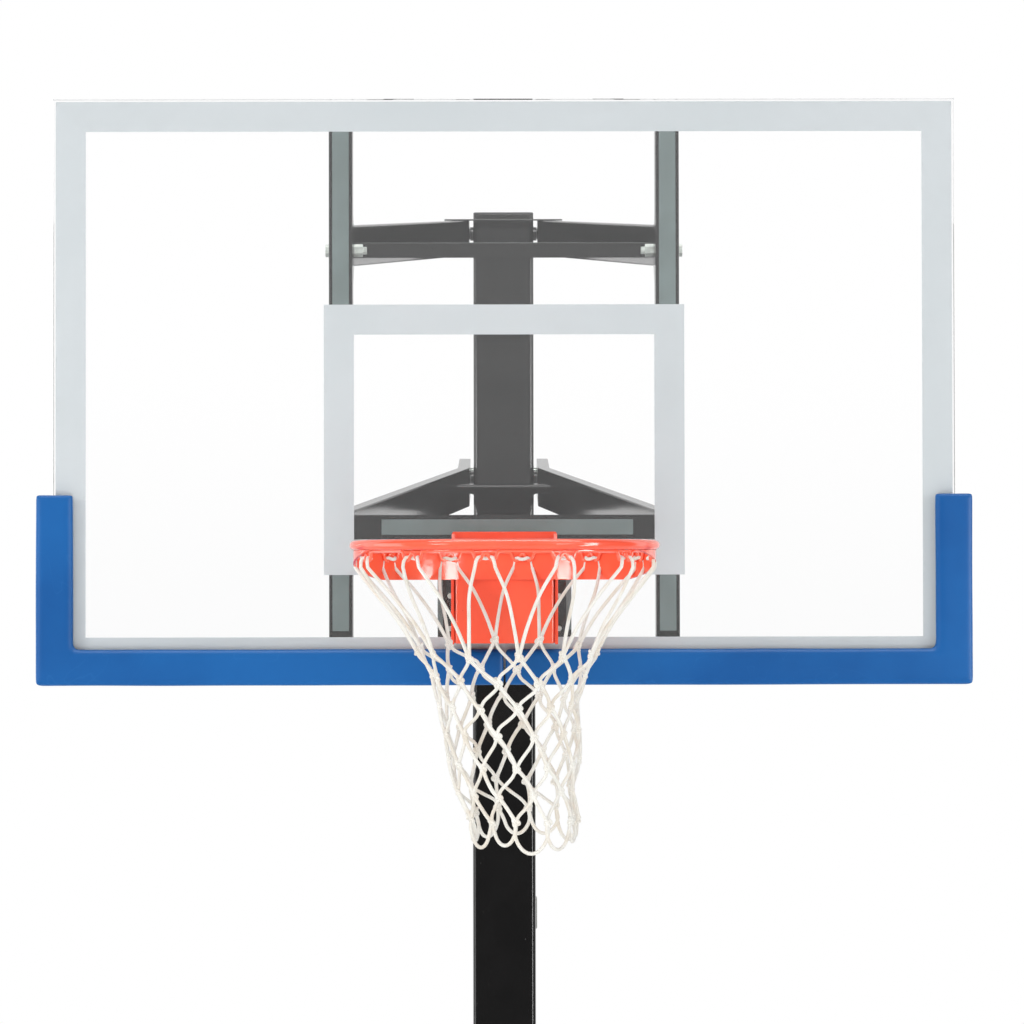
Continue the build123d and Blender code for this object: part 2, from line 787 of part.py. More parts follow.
with BuildPart() as foot_bracket:
    with BuildSketch(Plane.XY.offset(deck_height)):
        RectangleRounded(bracket_base_width, bracket_base_length, bracket_corner)
    extrude(amount=bracket_wall)
    for side in (-1, 1):
        with BuildSketch(Plane.YZ.offset(side * (pole_size / 2 + seat_gap))):
            with BuildLine():
                Polyline(
                    (-bracket_base_length / 2 + bracket_edge, deck_height),
                    (bracket_base_length / 2 - bracket_edge, deck_height),
                    (pole_size / 3, deck_height + bracket_height),
                    (-pole_size / 3, deck_height + bracket_height),
                    close=True,
                )
            make_face()
            with Locations((0, foot_bolt_z[0]), (0, foot_bolt_z[1])):
                Circle(bolt_hole_radius, mode=Mode.SUBTRACT)
        extrude(amount=side * bracket_wall)
write(foot_bracket, "foot_bracket")

bracket_outer = pole_size / 2 + seat_gap + bracket_wall + seat_gap
foot_bolt = through_bolt(6.0, 2 * bracket_outer, 19.0, 8.0, 10.0, 5.0)
with BuildPart() as foot_bolts:
    for z in foot_bolt_z:
        add(foot_bolt.moved(along_x(-bracket_outer, 0, z)))
    with BuildSketch(Plane.XY.offset(deck_height + bracket_wall)):
        nut_x = bracket_base_width - 2 * foot_bolt_inset
        nut_y = bracket_base_length - 2 * foot_bolt_inset
        with GridLocations(nut_x, nut_y, 2, 2):
            RegularPolygon(foot_nut_width / 2, 6, major_radius=False)
    extrude(amount=foot_nut_height)
write(foot_bolts, "foot_bolts")

wheel_z = wheel_radius + wheel_floor_gap
axle_half = wheel_x + wheel_width / 2 + wheel_well_gap + 30
with BuildPart() as wheel_axle:
    with BuildSketch(Plane.YZ.offset(-axle_half)):
        with Locations((wheel_axis_y, wheel_z)):
            Circle(axle_radius)
    extrude(amount=2 * axle_half)
write(wheel_axle, "wheel_axle")

hub_radius = 22.0
hub_rise = 4.0
tyre_thickness = 16.0
tyre_edge = 4.0
tyre_shoulder = 6.0
web_half = 6.0
spoke_count = 5
spoke_hole_radius = 9.0
for side, name in ((-1, "wheel_left"), (1, "wheel_right")):
    with BuildPart() as wheel:
        with BuildSketch(Plane.XZ):
            half_width = wheel_width / 2
            with BuildLine():
                Polyline(
                    (axle_radius + running_gap, -half_width - hub_rise),
                    (hub_radius, -half_width - hub_rise),
                    (hub_radius, -web_half),
                    (wheel_radius - tyre_thickness, -web_half),
                    (wheel_radius - tyre_thickness, -half_width),
                    (wheel_radius - tyre_edge, -half_width),
                    (wheel_radius, -half_width + tyre_shoulder),
                    (wheel_radius, half_width - tyre_shoulder),
                    (wheel_radius - tyre_edge, half_width),
                    (wheel_radius - tyre_thickness, half_width),
                    (wheel_radius - tyre_thickness, web_half),
                    (hub_radius, web_half),
                    (hub_radius, half_width + hub_rise),
                    (axle_radius + running_gap, half_width + hub_rise),
                    close=True,
                )
            make_face()
        revolve(axis=Axis.Z)
        with BuildSketch(Plane.XY.offset(-web_half)):
            with PolarLocations((hub_radius + wheel_radius - tyre_thickness) / 2, spoke_count):
                Circle(spoke_hole_radius)
        extrude(amount=2 * web_half, mode=Mode.SUBTRACT)
    axis_place = Plane(origin=(side * wheel_x, wheel_axis_y, wheel_z), x_dir=(0, 0, 1), z_dir=(1, 0, 0))
    with BuildPart() as placed_wheel:
        add(wheel.part.moved(axis_place.location))
    write(placed_wheel, name)

# Struts from the rear of the tank to the sides of the pole, with their ends pressed flat.
strut_foot_z = tank_height + 30
strut_pole_x = pole_size / 2 + seat_gap + strut_tab_thickness / 2
for side, name in ((-1, "strut_left"), (1, "strut_right")):
    top_point = Vector(side * strut_pole_x, 0, strut_top_z)
    foot_point = Vector(side * strut_foot_x, strut_foot_y, strut_foot_z)
    run = (foot_point - top_point).normalized()
    flat_run = Vector(0, run.Y, run.Z).normalized()
    across = flat_run.cross(Vector(1, 0, 0))
    upper = top_point + flat_run * strut_tab + run * strut_squeeze
    lower = foot_point - flat_run * strut_tab - run * strut_squeeze
    body_run = (lower - upper).normalized()
    with BuildPart() as strut:
        with BuildSketch(Plane(origin=upper, x_dir=across, z_dir=body_run)):
            Circle(strut_radius)
        extrude(amount=(lower - upper).length)
        for end, point, round_point in ((1, top_point, upper), (-1, foot_point, lower)):
            flat_start = point + flat_run * strut_tab * end
            with BuildSketch(Plane(origin=flat_start, x_dir=across, z_dir=flat_run)):
                Rectangle(strut_tab_width, strut_tab_thickness)
            with BuildSketch(Plane(origin=round_point, x_dir=across, z_dir=body_run)):
                Circle(strut_radius)
            loft(ruled=True)
            with BuildSketch(Plane(origin=point, x_dir=flat_run * end, z_dir=(1, 0, 0))):
                Circle(strut_tab_width / 2)
                Rectangle(strut_tab, strut_tab_width, align=(Align.MIN, Align.CENTER))
                Circle(bolt_hole_radius, mode=Mode.SUBTRACT)
            extrude(amount=strut_tab_thickness / 2, both=True)
    write(strut, name)

# Strut feet on the tank and the bolts of both strut ends.
foot_plate = 70.0
foot_corner = 8.0
foot_ear_width = 50.0
with BuildPart() as strut_feet:
    for side in (-1, 1):
        with BuildSketch(Plane.XY.offset(tank_height)):
            with Locations((side * strut_foot_x, strut_foot_y)):
                RectangleRounded(foot_plate, foot_plate, foot_corner)
        extrude(amount=strut_tab_thickness)
        for face in (-1, 1):
            ear_x = side * strut_foot_x + face * (strut_tab_thickness / 2 + seat_gap)
            with BuildSketch(Plane.YZ.offset(ear_x)):
                with Locations((strut_foot_y, tank_height)):
                    Rectangle(foot_ear_width, strut_foot_z - tank_height, align=(Align.CENTER, Align.MIN))
                with Locations((strut_foot_y, strut_foot_z)):
                    Circle(foot_ear_width / 2)
                    Circle(bolt_hole_radius, mode=Mode.SUBTRACT)
            extrude(amount=face * strut_tab_thickness)
write(strut_feet, "strut_feet")

strut_outer = strut_pole_x + strut_tab_thickness / 2 + seat_gap
foot_grip = 1.5 * strut_tab_thickness + 2 * seat_gap
top_bolt = through_bolt(6.0, 2 * strut_outer, 19.0, 8.0, 10.0, 5.0)
ear_bolt = through_bolt(6.0, 2 * foot_grip, 19.0, 8.0, 10.0, 5.0)
with BuildPart() as strut_bolts:
    add(top_bolt.moved(along_x(-strut_outer, 0, strut_top_z)))
    for side in (-1, 1):
        add(ear_bolt.moved(along_x(side * strut_foot_x - foot_grip, strut_foot_y, strut_foot_z)))
write(strut_bolts, "strut_bolts")

# ---- Lifting jack ----

pole_rear_y = pole_size / 2
gearbox_half = 26.0
gearbox_depth = 30.0
jack_ear_thickness = 5.0
jack_ear_reach = 18.0
jack_ear_height = 40.0
jack_ear_margin = 5.0
jack_plate_width = 90.0
jack_plate_corner = 8.0
jack_plate_wall = 5.0
jack_plate_low = gearbox_bottom_z - 35.0
jack_plate_high = gearbox_top_z + 25.0
with BuildPart() as jack_bracket:
    with BuildSketch(Plane.XZ.offset(-pole_rear_y)):
        with Locations((0, (jack_plate_low + jack_plate_high) / 2)):
            RectangleRounded(jack_plate_width, jack_plate_high - jack_plate_low, jack_plate_corner)
    extrude(amount=-jack_plate_wall)
    ear_low = gearbox_bottom_z + jack_ear_margin
    for side in (-1, 1):
        with BuildSketch(Plane.YZ.offset(side * (gearbox_half + seat_gap))):
            with BuildLine():
                Polyline(
                    (pole_rear_y + jack_plate_wall - 1, jack_plate_low + jack_ear_margin),
                    (pole_rear_y + jack_plate_wall - 1, jack_plate_high - jack_ear_margin),
                    (jack_y + jack_ear_reach, ear_low + jack_ear_height),
                    (jack_y + jack_ear_reach, ear_low),
                    close=True,
                )
            make_face()
        extrude(amount=side * jack_ear_thickness)
write(jack_bracket, "jack_bracket")

housing_corner = 10.0
housing_chamfer = 3.0
boss_radius = 20.0
boss_length = 14.0
bore_start = 8.0
screw_bore_start = 12.0
with BuildPart() as gear_housing:
    with BuildSketch(Plane.XY.offset(gearbox_bottom_z)):
        with Locations((0, jack_y)):
            RectangleRounded(2 * gearbox_half, 2 * gearbox_depth, housing_corner)
    extrude(amount=gearbox_top_z - gearbox_bottom_z)
    chamfer(gear_housing.faces().sort_by(Axis.Z)[-1].edges(), housing_chamfer)
    with BuildSketch(Plane.XZ.offset(-jack_y)):
        with Locations((0, crank_axis_z)):
            Circle(boss_radius)
    extrude(amount=-gearbox_depth - boss_length)
    with BuildSketch(Plane.XZ.offset(-jack_y - bore_start)):
        with Locations((0, crank_axis_z)):
            Circle(screw_radius + running_gap)
    extrude(amount=-gearbox_depth - boss_length, mode=Mode.SUBTRACT)
    with BuildSketch(Plane.XY.offset(crank_axis_z + screw_bore_start)):
        with Locations((0, jack_y)):
            Circle(screw_radius + running_gap)
    extrude(amount=gearbox_top_z - crank_axis_z, mode=Mode.SUBTRACT)
write(gear_housing, "gear_housing")

jack_housing = square_tube(
    jack_tube, jack_tube_wall, jack_tube_corner, gearbox_top_z, jack_tube_top_z, center_y=jack_y
)
write(jack_housing, "jack_housing")

rest_drop = radians(arm_slope)
jack_pin_z = lower_pivot_z + jack_y * tan(rest_drop) + jack_pin_lift
ram_size = jack_tube - 2 * jack_tube_wall - 2 * ram_gap
ram_top_z = jack_pin_z + ram_head
ram_hollow_bottom = ram_bottom_z + ram_nut_length
with BuildPart() as jack_ram:
    with BuildSketch(Plane(origin=(0, jack_y, ram_bottom_z))):
        RectangleRounded(ram_size, ram_size, ram_corner)
    extrude(amount=ram_top_z - ram_bottom_z)
    chamfer(jack_ram.faces().sort_by(Axis.Z)[-1].edges(), ram_chamfer)
    with BuildSketch(Plane(origin=(0, jack_y, ram_hollow_bottom))):
        RectangleRounded(ram_size - 2 * ram_wall, ram_size - 2 * ram_wall, ram_corner / 2)
    extrude(amount=jack_pin_z - ram_neck - ram_hollow_bottom, mode=Mode.SUBTRACT)
    with BuildSketch(Plane(origin=(0, jack_y, ram_bottom_z))):
        Circle(screw_radius + running_gap)
    extrude(amount=ram_nut_length, mode=Mode.SUBTRACT)
    with BuildSketch(Plane.YZ):
        with Locations((jack_y, jack_pin_z)):
            Circle(jack_pin_radius + running_gap)
    extrude(amount=ram_size, both=True, mode=Mode.SUBTRACT)
write(jack_ram, "jack_ram")

jack_pin_end = 14.0
collar_rise = 6.0
collar_width = 3.0
collar_gap = 2.0
jack_pin_half = arm_web_x + arm_wall + jack_pin_end
with BuildPart() as jack_pin:
    with BuildSketch(Plane.YZ.offset(-jack_pin_half)):
        with Locations((jack_y, jack_pin_z)):
            Circle(jack_pin_radius)
    extrude(amount=2 * jack_pin_half)
    for side in (-1, 1):
        with BuildSketch(Plane.YZ.offset(side * (arm_web_x + arm_wall + collar_gap))):
            with Locations((jack_y, jack_pin_z)):
                Circle(jack_pin_radius + collar_rise)
        extrude(amount=side * collar_width)
write(jack_pin, "jack_pin")

screw_lap = 330.0
screw_start = 13.0
screw_top_z = ram_bottom_z + screw_lap
with BuildPart() as jack_screw:
    with BuildSketch(Plane(origin=(0, jack_y, crank_axis_z + screw_start))):
        Circle(screw_radius)
    extrude(amount=screw_top_z - crank_axis_z - screw_start)
write(jack_screw, "jack_screw")

crank_shaft_start = 10.0
crank_arm_start = 34.0
crank_shaft_y = jack_y + crank_shaft_start
crank_arm_y = jack_y + gearbox_depth + crank_arm_start
crank_arm_thickness = 8.0
crank_arm_width = 24.0
grip_radius = 15.0
grip_length = 105.0
grip_chamfer = 3.0
spindle_radius = 5.0
with BuildPart() as crank_handle:
    with BuildSketch(Plane.XZ.offset(-crank_shaft_y)):
        with Locations((0, crank_axis_z)):
            Circle(screw_radius)
    extrude(amount=-(crank_arm_y - crank_shaft_y))
    with BuildSketch(Plane.XZ.offset(-crank_arm_y)):
        with Locations((0, crank_axis_z - crank_radius / 2)):
            SlotCenterToCenter(crank_radius, crank_arm_width, rotation=90)
    extrude(amount=-crank_arm_thickness)
    with BuildSketch(Plane.XZ.offset(-crank_arm_y)):
        with Locations((0, crank_axis_z - crank_radius)):
            Circle(spindle_radius)
    extrude(amount=-(crank_arm_thickness + grip_length + 3))
    with BuildSketch(Plane.XZ.offset(-(crank_arm_y + crank_arm_thickness + grip_length + 1))):
        with Locations((0, crank_axis_z - crank_radius)):
            Circle(spindle_radius + 4)
    extrude(amount=-4)
write(crank_handle, "crank_handle")

grip_start = crank_arm_y + crank_arm_thickness + seat_gap
with BuildPart() as crank_grip:
    with BuildSketch(Plane.XZ.offset(-grip_start)):
        with Locations((0, crank_axis_z - crank_radius)):
            Circle(grip_radius)
    extrude(amount=-grip_length)
    chamfer(crank_grip.edges(), grip_chamfer)
    with BuildSketch(Plane.XZ.offset(-grip_start)):
        with Locations((0, crank_axis_z - crank_radius)):
            Circle(spindle_radius + running_gap)
    extrude(amount=-grip_length, mode=Mode.SUBTRACT)
write(crank_grip, "crank_grip")

# Plastic clip on the right side of the pole.
clip_height = 65.0
clip_rise = 3.2
clip_width = 40.0
clip_corner = 8.0
clip_chamfer = 2.0
clip_middle_z = 1787.0
with BuildPart() as handle_clip:
    with BuildSketch(Plane.YZ.offset(pole_size / 2)):
        with Locations((clip_width / 2, clip_middle_z)):
            RectangleRounded(clip_width, clip_height, clip_corner)
    extrude(amount=clip_rise)
    chamfer(handle_clip.faces().sort_by(Axis.X)[-1].edges(), clip_chamfer)
write(handle_clip, "handle_clip")

# ---- Rim, fixed side ----

plate_top_z = ring_z + plate_top_rise
plate_bottom_z = plate_top_z - plate_height
plate_front_y = glass_front_y - plate_thickness
cheek_front_y = plate_front_y - cheek_depth
hinge_y = glass_front_y - hinge_offset
hinge_z = ring_z
spring_y = hinge_y - spring_reach
shelf_wall = 4.0
shelf_front_y = spring_y - spring_outer_radius - shelf_margin
cheek_inner_x = plate_width / 2 - plate_thickness

with BuildPart() as rim_mount_plate:
    with BuildSketch(Plane(origin=(0, glass_front_y, 0), x_dir=(1, 0, 0), z_dir=(0, -1, 0))):
        with Locations((0, rim_plate_middle_z)):
            RectangleRounded(plate_width, plate_height, 4)
            with GridLocations(2 * rim_bolt_x, 2 * rim_bolt_half_z, 2, 2):
                Circle(rim_bolt_radius + bolt_gap, mode=Mode.SUBTRACT)
    extrude(amount=plate_thickness)
    for side in (-1, 1):
        with BuildSketch(Plane.YZ.offset(side * plate_width / 2)):
            with BuildLine():
                Polyline(
                    (plate_front_y, plate_bottom_z),
                    (plate_front_y, plate_top_z - cheek_inset),
                    (hinge_y - hinge_knuckle_radius - cheek_inset, plate_top_z - cheek_inset),
                    (cheek_front_y, ring_z - cheek_drop),
                    (cheek_front_y, plate_bottom_z),
                    close=True,
                )
            make_face()
            with Locations((hinge_y, hinge_z)):
                Circle(hinge_pin_radius + running_gap, mode=Mode.SUBTRACT)
        extrude(amount=-side * plate_thickness)
    with BuildSketch(Plane.XY.offset(shelf_z - shelf_wall)):
        with Locations((0, plate_front_y)):
            Rectangle(2 * cheek_inner_x, plate_front_y - shelf_front_y, align=(Align.CENTER, Align.MAX))
        with Locations((-spring_x, spring_y), (spring_x, spring_y)):
            Circle(spring_bolt_radius + running_gap, mode=Mode.SUBTRACT)
    extrude(amount=shelf_wall)
write(rim_mount_plate, "rim_mount_plate")

mount_grip = plate_thickness + glass_thickness + print_thickness + tape_thickness + frame_wall + 2 * seat_gap
mount_bolt = through_bolt(rim_bolt_radius, mount_grip, 16.0, 6.5, 9.0, 4.0)
with BuildPart() as rim_mount_bolts:
    for x in (-rim_bolt_x, rim_bolt_x):
        for dz in (-rim_bolt_half_z, rim_bolt_half_z):
            add(mount_bolt.moved(along_y(x, plate_front_y - seat_gap, rim_plate_middle_z + dz)))
write(rim_mount_bolts, "rim_mount_bolts")

with BuildPart() as rim_hinge_pin:
    with BuildSketch(Plane.YZ.offset(-plate_width / 2 - hinge_pin_end)):
        with Locations((hinge_y, hinge_z)):
            Circle(hinge_pin_radius)
    extrude(amount=plate_width + 2 * hinge_pin_end)
write(rim_hinge_pin, "rim_hinge_pin")

top_plate_thickness = 5.0
spring_bolt_length = hinge_z + top_plate_thickness / 2 - shelf_z + shelf_wall + 1
spring_bolt = through_bolt(spring_bolt_radius, spring_bolt_length, 16.0, 6.0, 9.0, 3.0)
with BuildPart() as rim_spring_bolts:
    top = hinge_z + top_plate_thickness / 2 + seat_gap
    for x in (-spring_x, spring_x):
        down = Plane(origin=(x, spring_y, top), x_dir=(1, 0, 0), z_dir=(0, 0, -1))
        add(spring_bolt.moved(down.location))
write(rim_spring_bolts, "rim_spring_bolts")

# Springs of flat wire, with both ends wound a full turn.
spring_top_z = hinge_z - top_plate_thickness / 2 - seat_gap
spring_middle_radius = spring_outer_radius - spring_wire_width / 2
spring_rise = spring_top_z - shelf_z - spring_wire_height - 2 * seat_gap
with BuildPart() as rim_springs:
    for x in (-spring_x, spring_x):
        with BuildLine() as coil:
            Helix(
                pitch=spring_rise / spring_turns,
                height=spring_rise,
                radius=spring_middle_radius,
                center=(x, spring_y, shelf_z + spring_wire_height / 2 + seat_gap),
            )
        with BuildSketch(Plane(origin=coil.line @ 0, x_dir=(1, 0, 0), z_dir=coil.line % 0)):
            Rectangle(spring_wire_width, spring_wire_height)
        sweep(path=coil.wires()[0], is_frenet=True)
write(rim_springs, "rim_springs")

# ---- Rim, moving side ----

with BuildPart() as ring:
    with BuildSketch(Plane.XZ.offset(-ring_y)):
        with Locations((ring_radius, ring_z)):
            Circle(rod_radius)
    revolve(axis=Axis((0, ring_y, 0), (0, 0, 1)))
write(ring, "ring")

brace_outer = ring_radius + brace_wall / 2
brace_inner = ring_radius - brace_wall / 2
brace_top_z = ring_z - rod_radius - 0.1
brace_bottom_z = ring_z - brace_depth
with BuildPart() as wrap_brace:
    with BuildSketch(Plane(origin=(0, ring_y, brace_bottom_z))):
        Circle(brace_outer)
        Circle(brace_inner, mode=Mode.SUBTRACT)
    extrude(amount=brace_top_z - brace_bottom_z)
    with BuildSketch(Plane.YZ):
        with BuildLine():
            Polyline(
                (ring_y + brace_outer + 1, brace_bottom_z),
                (ring_y + brace_outer * cos(radians(brace_rear_angle)), brace_bottom_z),
                (ring_y, ring_z - brace_side_depth),
                (ring_y - brace_outer * sin(radians(brace_front_angle)), brace_top_z),
                (ring_y + brace_outer + 1, brace_top_z),
                close=True,
            )
        make_face()
    extrude(amount=brace_outer + 1, both=True, mode=Mode.INTERSECT)
write(wrap_brace, "wrap_brace")

panel_front_y = ring_y + brace_outer + panel_gap_y
panel_bottom_z = plate_bottom_z + 2
panel_wall = 4.0
panel_flange = 24.0
panel_top_z = ring_z - rod_radius - seat_gap
with BuildPart() as rim_front_panel:
    with BuildSketch(Plane.XY.offset(panel_bottom_z)):
        with Locations((0, panel_front_y)):
            Rectangle(panel_width, panel_flange, align=(Align.CENTER, Align.MIN))
        with Locations((0, panel_front_y + panel_wall)):
            Rectangle(
                panel_width - 2 * panel_wall,
                panel_flange,
                align=(Align.CENTER, Align.MIN),
                mode=Mode.SUBTRACT,
            )
    extrude(amount=panel_top_z - panel_bottom_z)
    fillet(rim_front_panel.edges().filter_by(Axis.Z).group_by(Axis.Y)[0], 3)
    for side in (-1, 1):
        with BuildSketch(Plane.XY.offset(panel_top_z)):
            with Locations((side * (panel_width - panel_wall) / 2, panel_front_y + panel_flange)):
                Rectangle(panel_wall, panel_flange - panel_wall, align=(Align.CENTER, Align.MAX))
        extrude(amount=hinge_z - top_plate_thickness / 2 - seat_gap - panel_top_z)
write(rim_front_panel, "rim_front_panel")

knuckle_length = 100.0
slot_shift = spring_reach / cos(radians(breakaway_angle)) - spring_reach
slot_lead = 0.7
slot_length = 2 * spring_bolt_radius + slot_shift + 3.6
slot_width = 2 * spring_bolt_radius + 1.6
ring_seam = 0.2
with BuildPart() as rim_top_plate:
    with BuildSketch(Plane.XY.offset(hinge_z - top_plate_thickness / 2)):
        with Locations((0, hinge_y)):
            Rectangle(top_plate_width, -(ring_y - hinge_y), align=(Align.CENTER, Align.MAX))
        with Locations((0, ring_y)):
            Circle(ring_radius + rod_radius + ring_seam, mode=Mode.SUBTRACT)
        slot_y = spring_y - slot_shift / 2 - slot_lead
        with Locations((-spring_x, slot_y), (spring_x, slot_y)):
            SlotOverall(slot_length, slot_width, rotation=90, mode=Mode.SUBTRACT)
    extrude(amount=top_plate_thickness)
    with BuildSketch(Plane.YZ.offset(-knuckle_length / 2)):
        with Locations((hinge_y, hinge_z)):
            Circle(hinge_knuckle_radius)
    extrude(amount=knuckle_length)
    with BuildSketch(Plane.YZ.offset(-top_plate_width / 2)):
        with Locations((hinge_y, hinge_z)):
            Circle(hinge_pin_radius + running_gap)
    extrude(amount=top_plate_width, mode=Mode.SUBTRACT)
write(rim_top_plate, "rim_top_plate")

# Wire under the ring, with a double loop at each net hook.
wire_ring_radius = brace_inner - wire_radius - seat_gap
wire_seat = rod_radius + wire_radius + seat_gap
wire_z = ring_z - sqrt(wire_seat**2 - (ring_radius - wire_ring_radius) ** 2)
hook_half = 15.0
hook_loop_x = 7.5
hook_loop_drop = 12.5
hook_loop_flat = 2.0
hook_middle_drop = 8.5
arc_pieces = 3
hook_end = 4.0
hook_overlap = 1.0
wire_sides = 6
hook_step = 360 / hook_count
hook_half_angle = degrees(asin((hook_half + hook_end - hook_overlap) / wire_ring_radius))
hook_reach = wire_ring_radius * cos(radians(hook_half_angle))
with BuildPart() as net_wire:
    for number in range(hook_count):
        angle = -90 + hook_turn + number * hook_step
        turned = Plane(origin=(0, ring_y, wire_z)).rotated((0, 0, angle))
        bend = (hook_step - 2 * hook_half_angle) / arc_pieces
        with BuildLine(turned) as arc:
            Polyline(
                *[
                    (
                        wire_ring_radius * cos(radians(hook_half_angle + place * bend)),
                        wire_ring_radius * sin(radians(hook_half_angle + place * bend)),
                    )
                    for place in range(arc_pieces + 1)
                ]
            )
        with BuildSketch(Plane(origin=arc.line @ 0, x_dir=(0, 0, 1), z_dir=arc.line % 0)):
            RegularPolygon(wire_radius, wire_sides)
        sweep(path=arc.wires()[0], transition=Transition.RIGHT)
        face = Plane(
            origin=turned.origin + turned.x_dir * hook_reach,
            x_dir=Vector(0, 0, 1).cross(turned.x_dir),
            z_dir=turned.x_dir,
        )
        with BuildLine(face) as loop:
            Polyline(
                (-hook_half - hook_end, 0),
                (-hook_half, 0),
                (-hook_loop_x - hook_loop_flat, -hook_loop_drop),
                (-hook_loop_x + hook_loop_flat, -hook_loop_drop),
                (0, -hook_middle_drop),
                (hook_loop_x - hook_loop_flat, -hook_loop_drop),
                (hook_loop_x + hook_loop_flat, -hook_loop_drop),
                (hook_half, 0),
                (hook_half + hook_end, 0),
            )
        with BuildSketch(Plane(origin=loop.wires()[0] @ 0, x_dir=turned.x_dir, z_dir=loop.wires()[0] % 0)):
            RegularPolygon(wire_radius, wire_sides)
        sweep(path=loop.wires()[0], transition=Transition.RIGHT)
write(net_wire, "net_wire")

# Net: an open tapering sleeve that leans a little to the right.
net_top_z = net_wire.part.bounding_box().min.Z - seat_gap
net_rings = (
    (0, 0, wire_ring_radius + net_wall / 2),
    (net_neck_drop, net_neck_shift, net_neck_radius),
    (net_length, net_foot_shift, net_foot_radius),
)
with BuildPart() as net:
    for drop, shift, radius in net_rings:
        with BuildSketch(Plane(origin=(shift, ring_y, net_top_z - drop))):
            RegularPolygon(radius, hook_count, rotation=hook_turn)
    loft(ruled=True)
    for drop, shift, radius in net_rings:
        with BuildSketch(Plane(origin=(shift, ring_y, net_top_z - drop))):
            RegularPolygon(radius - net_wall, hook_count, rotation=hook_turn)
    loft(ruled=True, mode=Mode.SUBTRACT)
write(net, "net")

# ---- Edge pads ----

pad_outer_x = glass_width / 2 + pad_side
pad_inner_x = glass_width / 2 - pad_over_face
pad_bottom_z = glass_bottom_z - pad_under
pad_inner_z = glass_bottom_z + pad_over_face
pad_front_y = glass_front_y - pad_front
pad_back_y = glass_back_y + pad_front
with BuildPart() as pad_right:
    with BuildSketch(Plane(origin=(0, pad_front_y, 0), x_dir=(1, 0, 0), z_dir=(0, -1, 0))):
        with BuildLine():
            Polyline(
                (pad_seam / 2, pad_bottom_z),
                (pad_outer_x, pad_bottom_z),
                (pad_outer_x, pad_top_z),
                (pad_inner_x, pad_top_z),
                (pad_inner_x, pad_inner_z),
                (pad_seam / 2, pad_inner_z),
                close=True,
            )
        make_face()
    extrude(amount=-(pad_back_y - pad_front_y))
    corner = pad_right.edges().filter_by(Axis.Y).sort_by(Axis.X)[-2:].sort_by(Axis.Z)[0]
    fillet(corner, pad_corner)
    front_rim = pad_right.faces().sort_by(Axis.Y)[0].edges()
    across, upright = front_rim.filter_by(Axis.X), front_rim.filter_by(Axis.Z)
    chamfer([upright.sort_by(Axis.X)[1], across.sort_by(Axis.Z)[1]], pad_bevel)
    front_rim = pad_right.faces().sort_by(Axis.Y)[0].edges()
    across, upright = front_rim.filter_by(Axis.X), front_rim.filter_by(Axis.Z)
    chamfer([upright.sort_by(Axis.X)[-1], across.sort_by(Axis.Z)[0]], pad_edge)
    with BuildSketch(Plane(origin=(0, glass_front_y - seat_gap, 0), x_dir=(1, 0, 0), z_dir=(0, -1, 0))):
        with Locations((0, glass_bottom_z - seat_gap)):
            Rectangle(glass_width / 2 + seat_gap, glass_height, align=(Align.MIN, Align.MIN))
    extrude(amount=-(glass_thickness + print_thickness + 2 * seat_gap), mode=Mode.SUBTRACT)
write(pad_right, "pad_right")

with BuildPart() as pad_left:
    add(mirror(pad_right.part, about=Plane.YZ))
write(pad_left, "pad_left")
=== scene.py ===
import bpy
import bmesh
import json
import random
from math import asin, cos, degrees, pi, radians, sin
from mathutils import Matrix, Vector, noise


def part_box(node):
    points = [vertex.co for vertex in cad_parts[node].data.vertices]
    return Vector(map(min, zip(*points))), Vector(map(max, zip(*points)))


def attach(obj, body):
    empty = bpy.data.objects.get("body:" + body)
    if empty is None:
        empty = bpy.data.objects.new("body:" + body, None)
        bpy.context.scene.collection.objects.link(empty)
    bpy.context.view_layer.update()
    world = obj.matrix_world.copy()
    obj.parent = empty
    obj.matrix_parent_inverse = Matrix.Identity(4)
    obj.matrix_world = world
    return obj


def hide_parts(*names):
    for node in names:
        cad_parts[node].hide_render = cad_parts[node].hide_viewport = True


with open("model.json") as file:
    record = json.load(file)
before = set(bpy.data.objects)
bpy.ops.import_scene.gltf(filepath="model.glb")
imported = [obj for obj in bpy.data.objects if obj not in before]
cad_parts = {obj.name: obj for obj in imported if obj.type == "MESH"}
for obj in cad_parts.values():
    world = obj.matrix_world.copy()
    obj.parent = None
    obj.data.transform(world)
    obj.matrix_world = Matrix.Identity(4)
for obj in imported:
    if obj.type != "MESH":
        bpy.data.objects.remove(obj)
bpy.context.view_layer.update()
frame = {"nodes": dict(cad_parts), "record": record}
nodes = frame["nodes"]
print("frame loaded:", len(nodes), "nodes")


def hexLinear(code):
    channels = [int(code[i:i + 2], 16) / 255 for i in (1, 3, 5)]
    return tuple(c / 12.92 if c <= 0.04045 else ((c + 0.055) / 1.055) ** 2.4 for c in channels) + (1,)


def addNode(tree, kind, settings=None, sockets=None):
    node = tree.nodes.new(kind)
    for key, value in (settings or {}).items():
        setattr(node, key, value)
    for key, value in (sockets or {}).items():
        if isinstance(value, bpy.types.NodeSocket):
            tree.links.new(value, node.inputs[key])
        else:
            node.inputs[key].default_value = value
    return node


def calculate(tree, operation, *values):
    return addNode(tree, "ShaderNodeMath", {"operation": operation}, dict(enumerate(values))).outputs[0]


def noiseAt(tree, place, scale, detail, distortion=0.0):
    sockets = {"Vector": place, "Scale": scale, "Detail": detail, "Distortion": distortion}
    return addNode(tree, "ShaderNodeTexNoise", {}, sockets).outputs["Fac"]


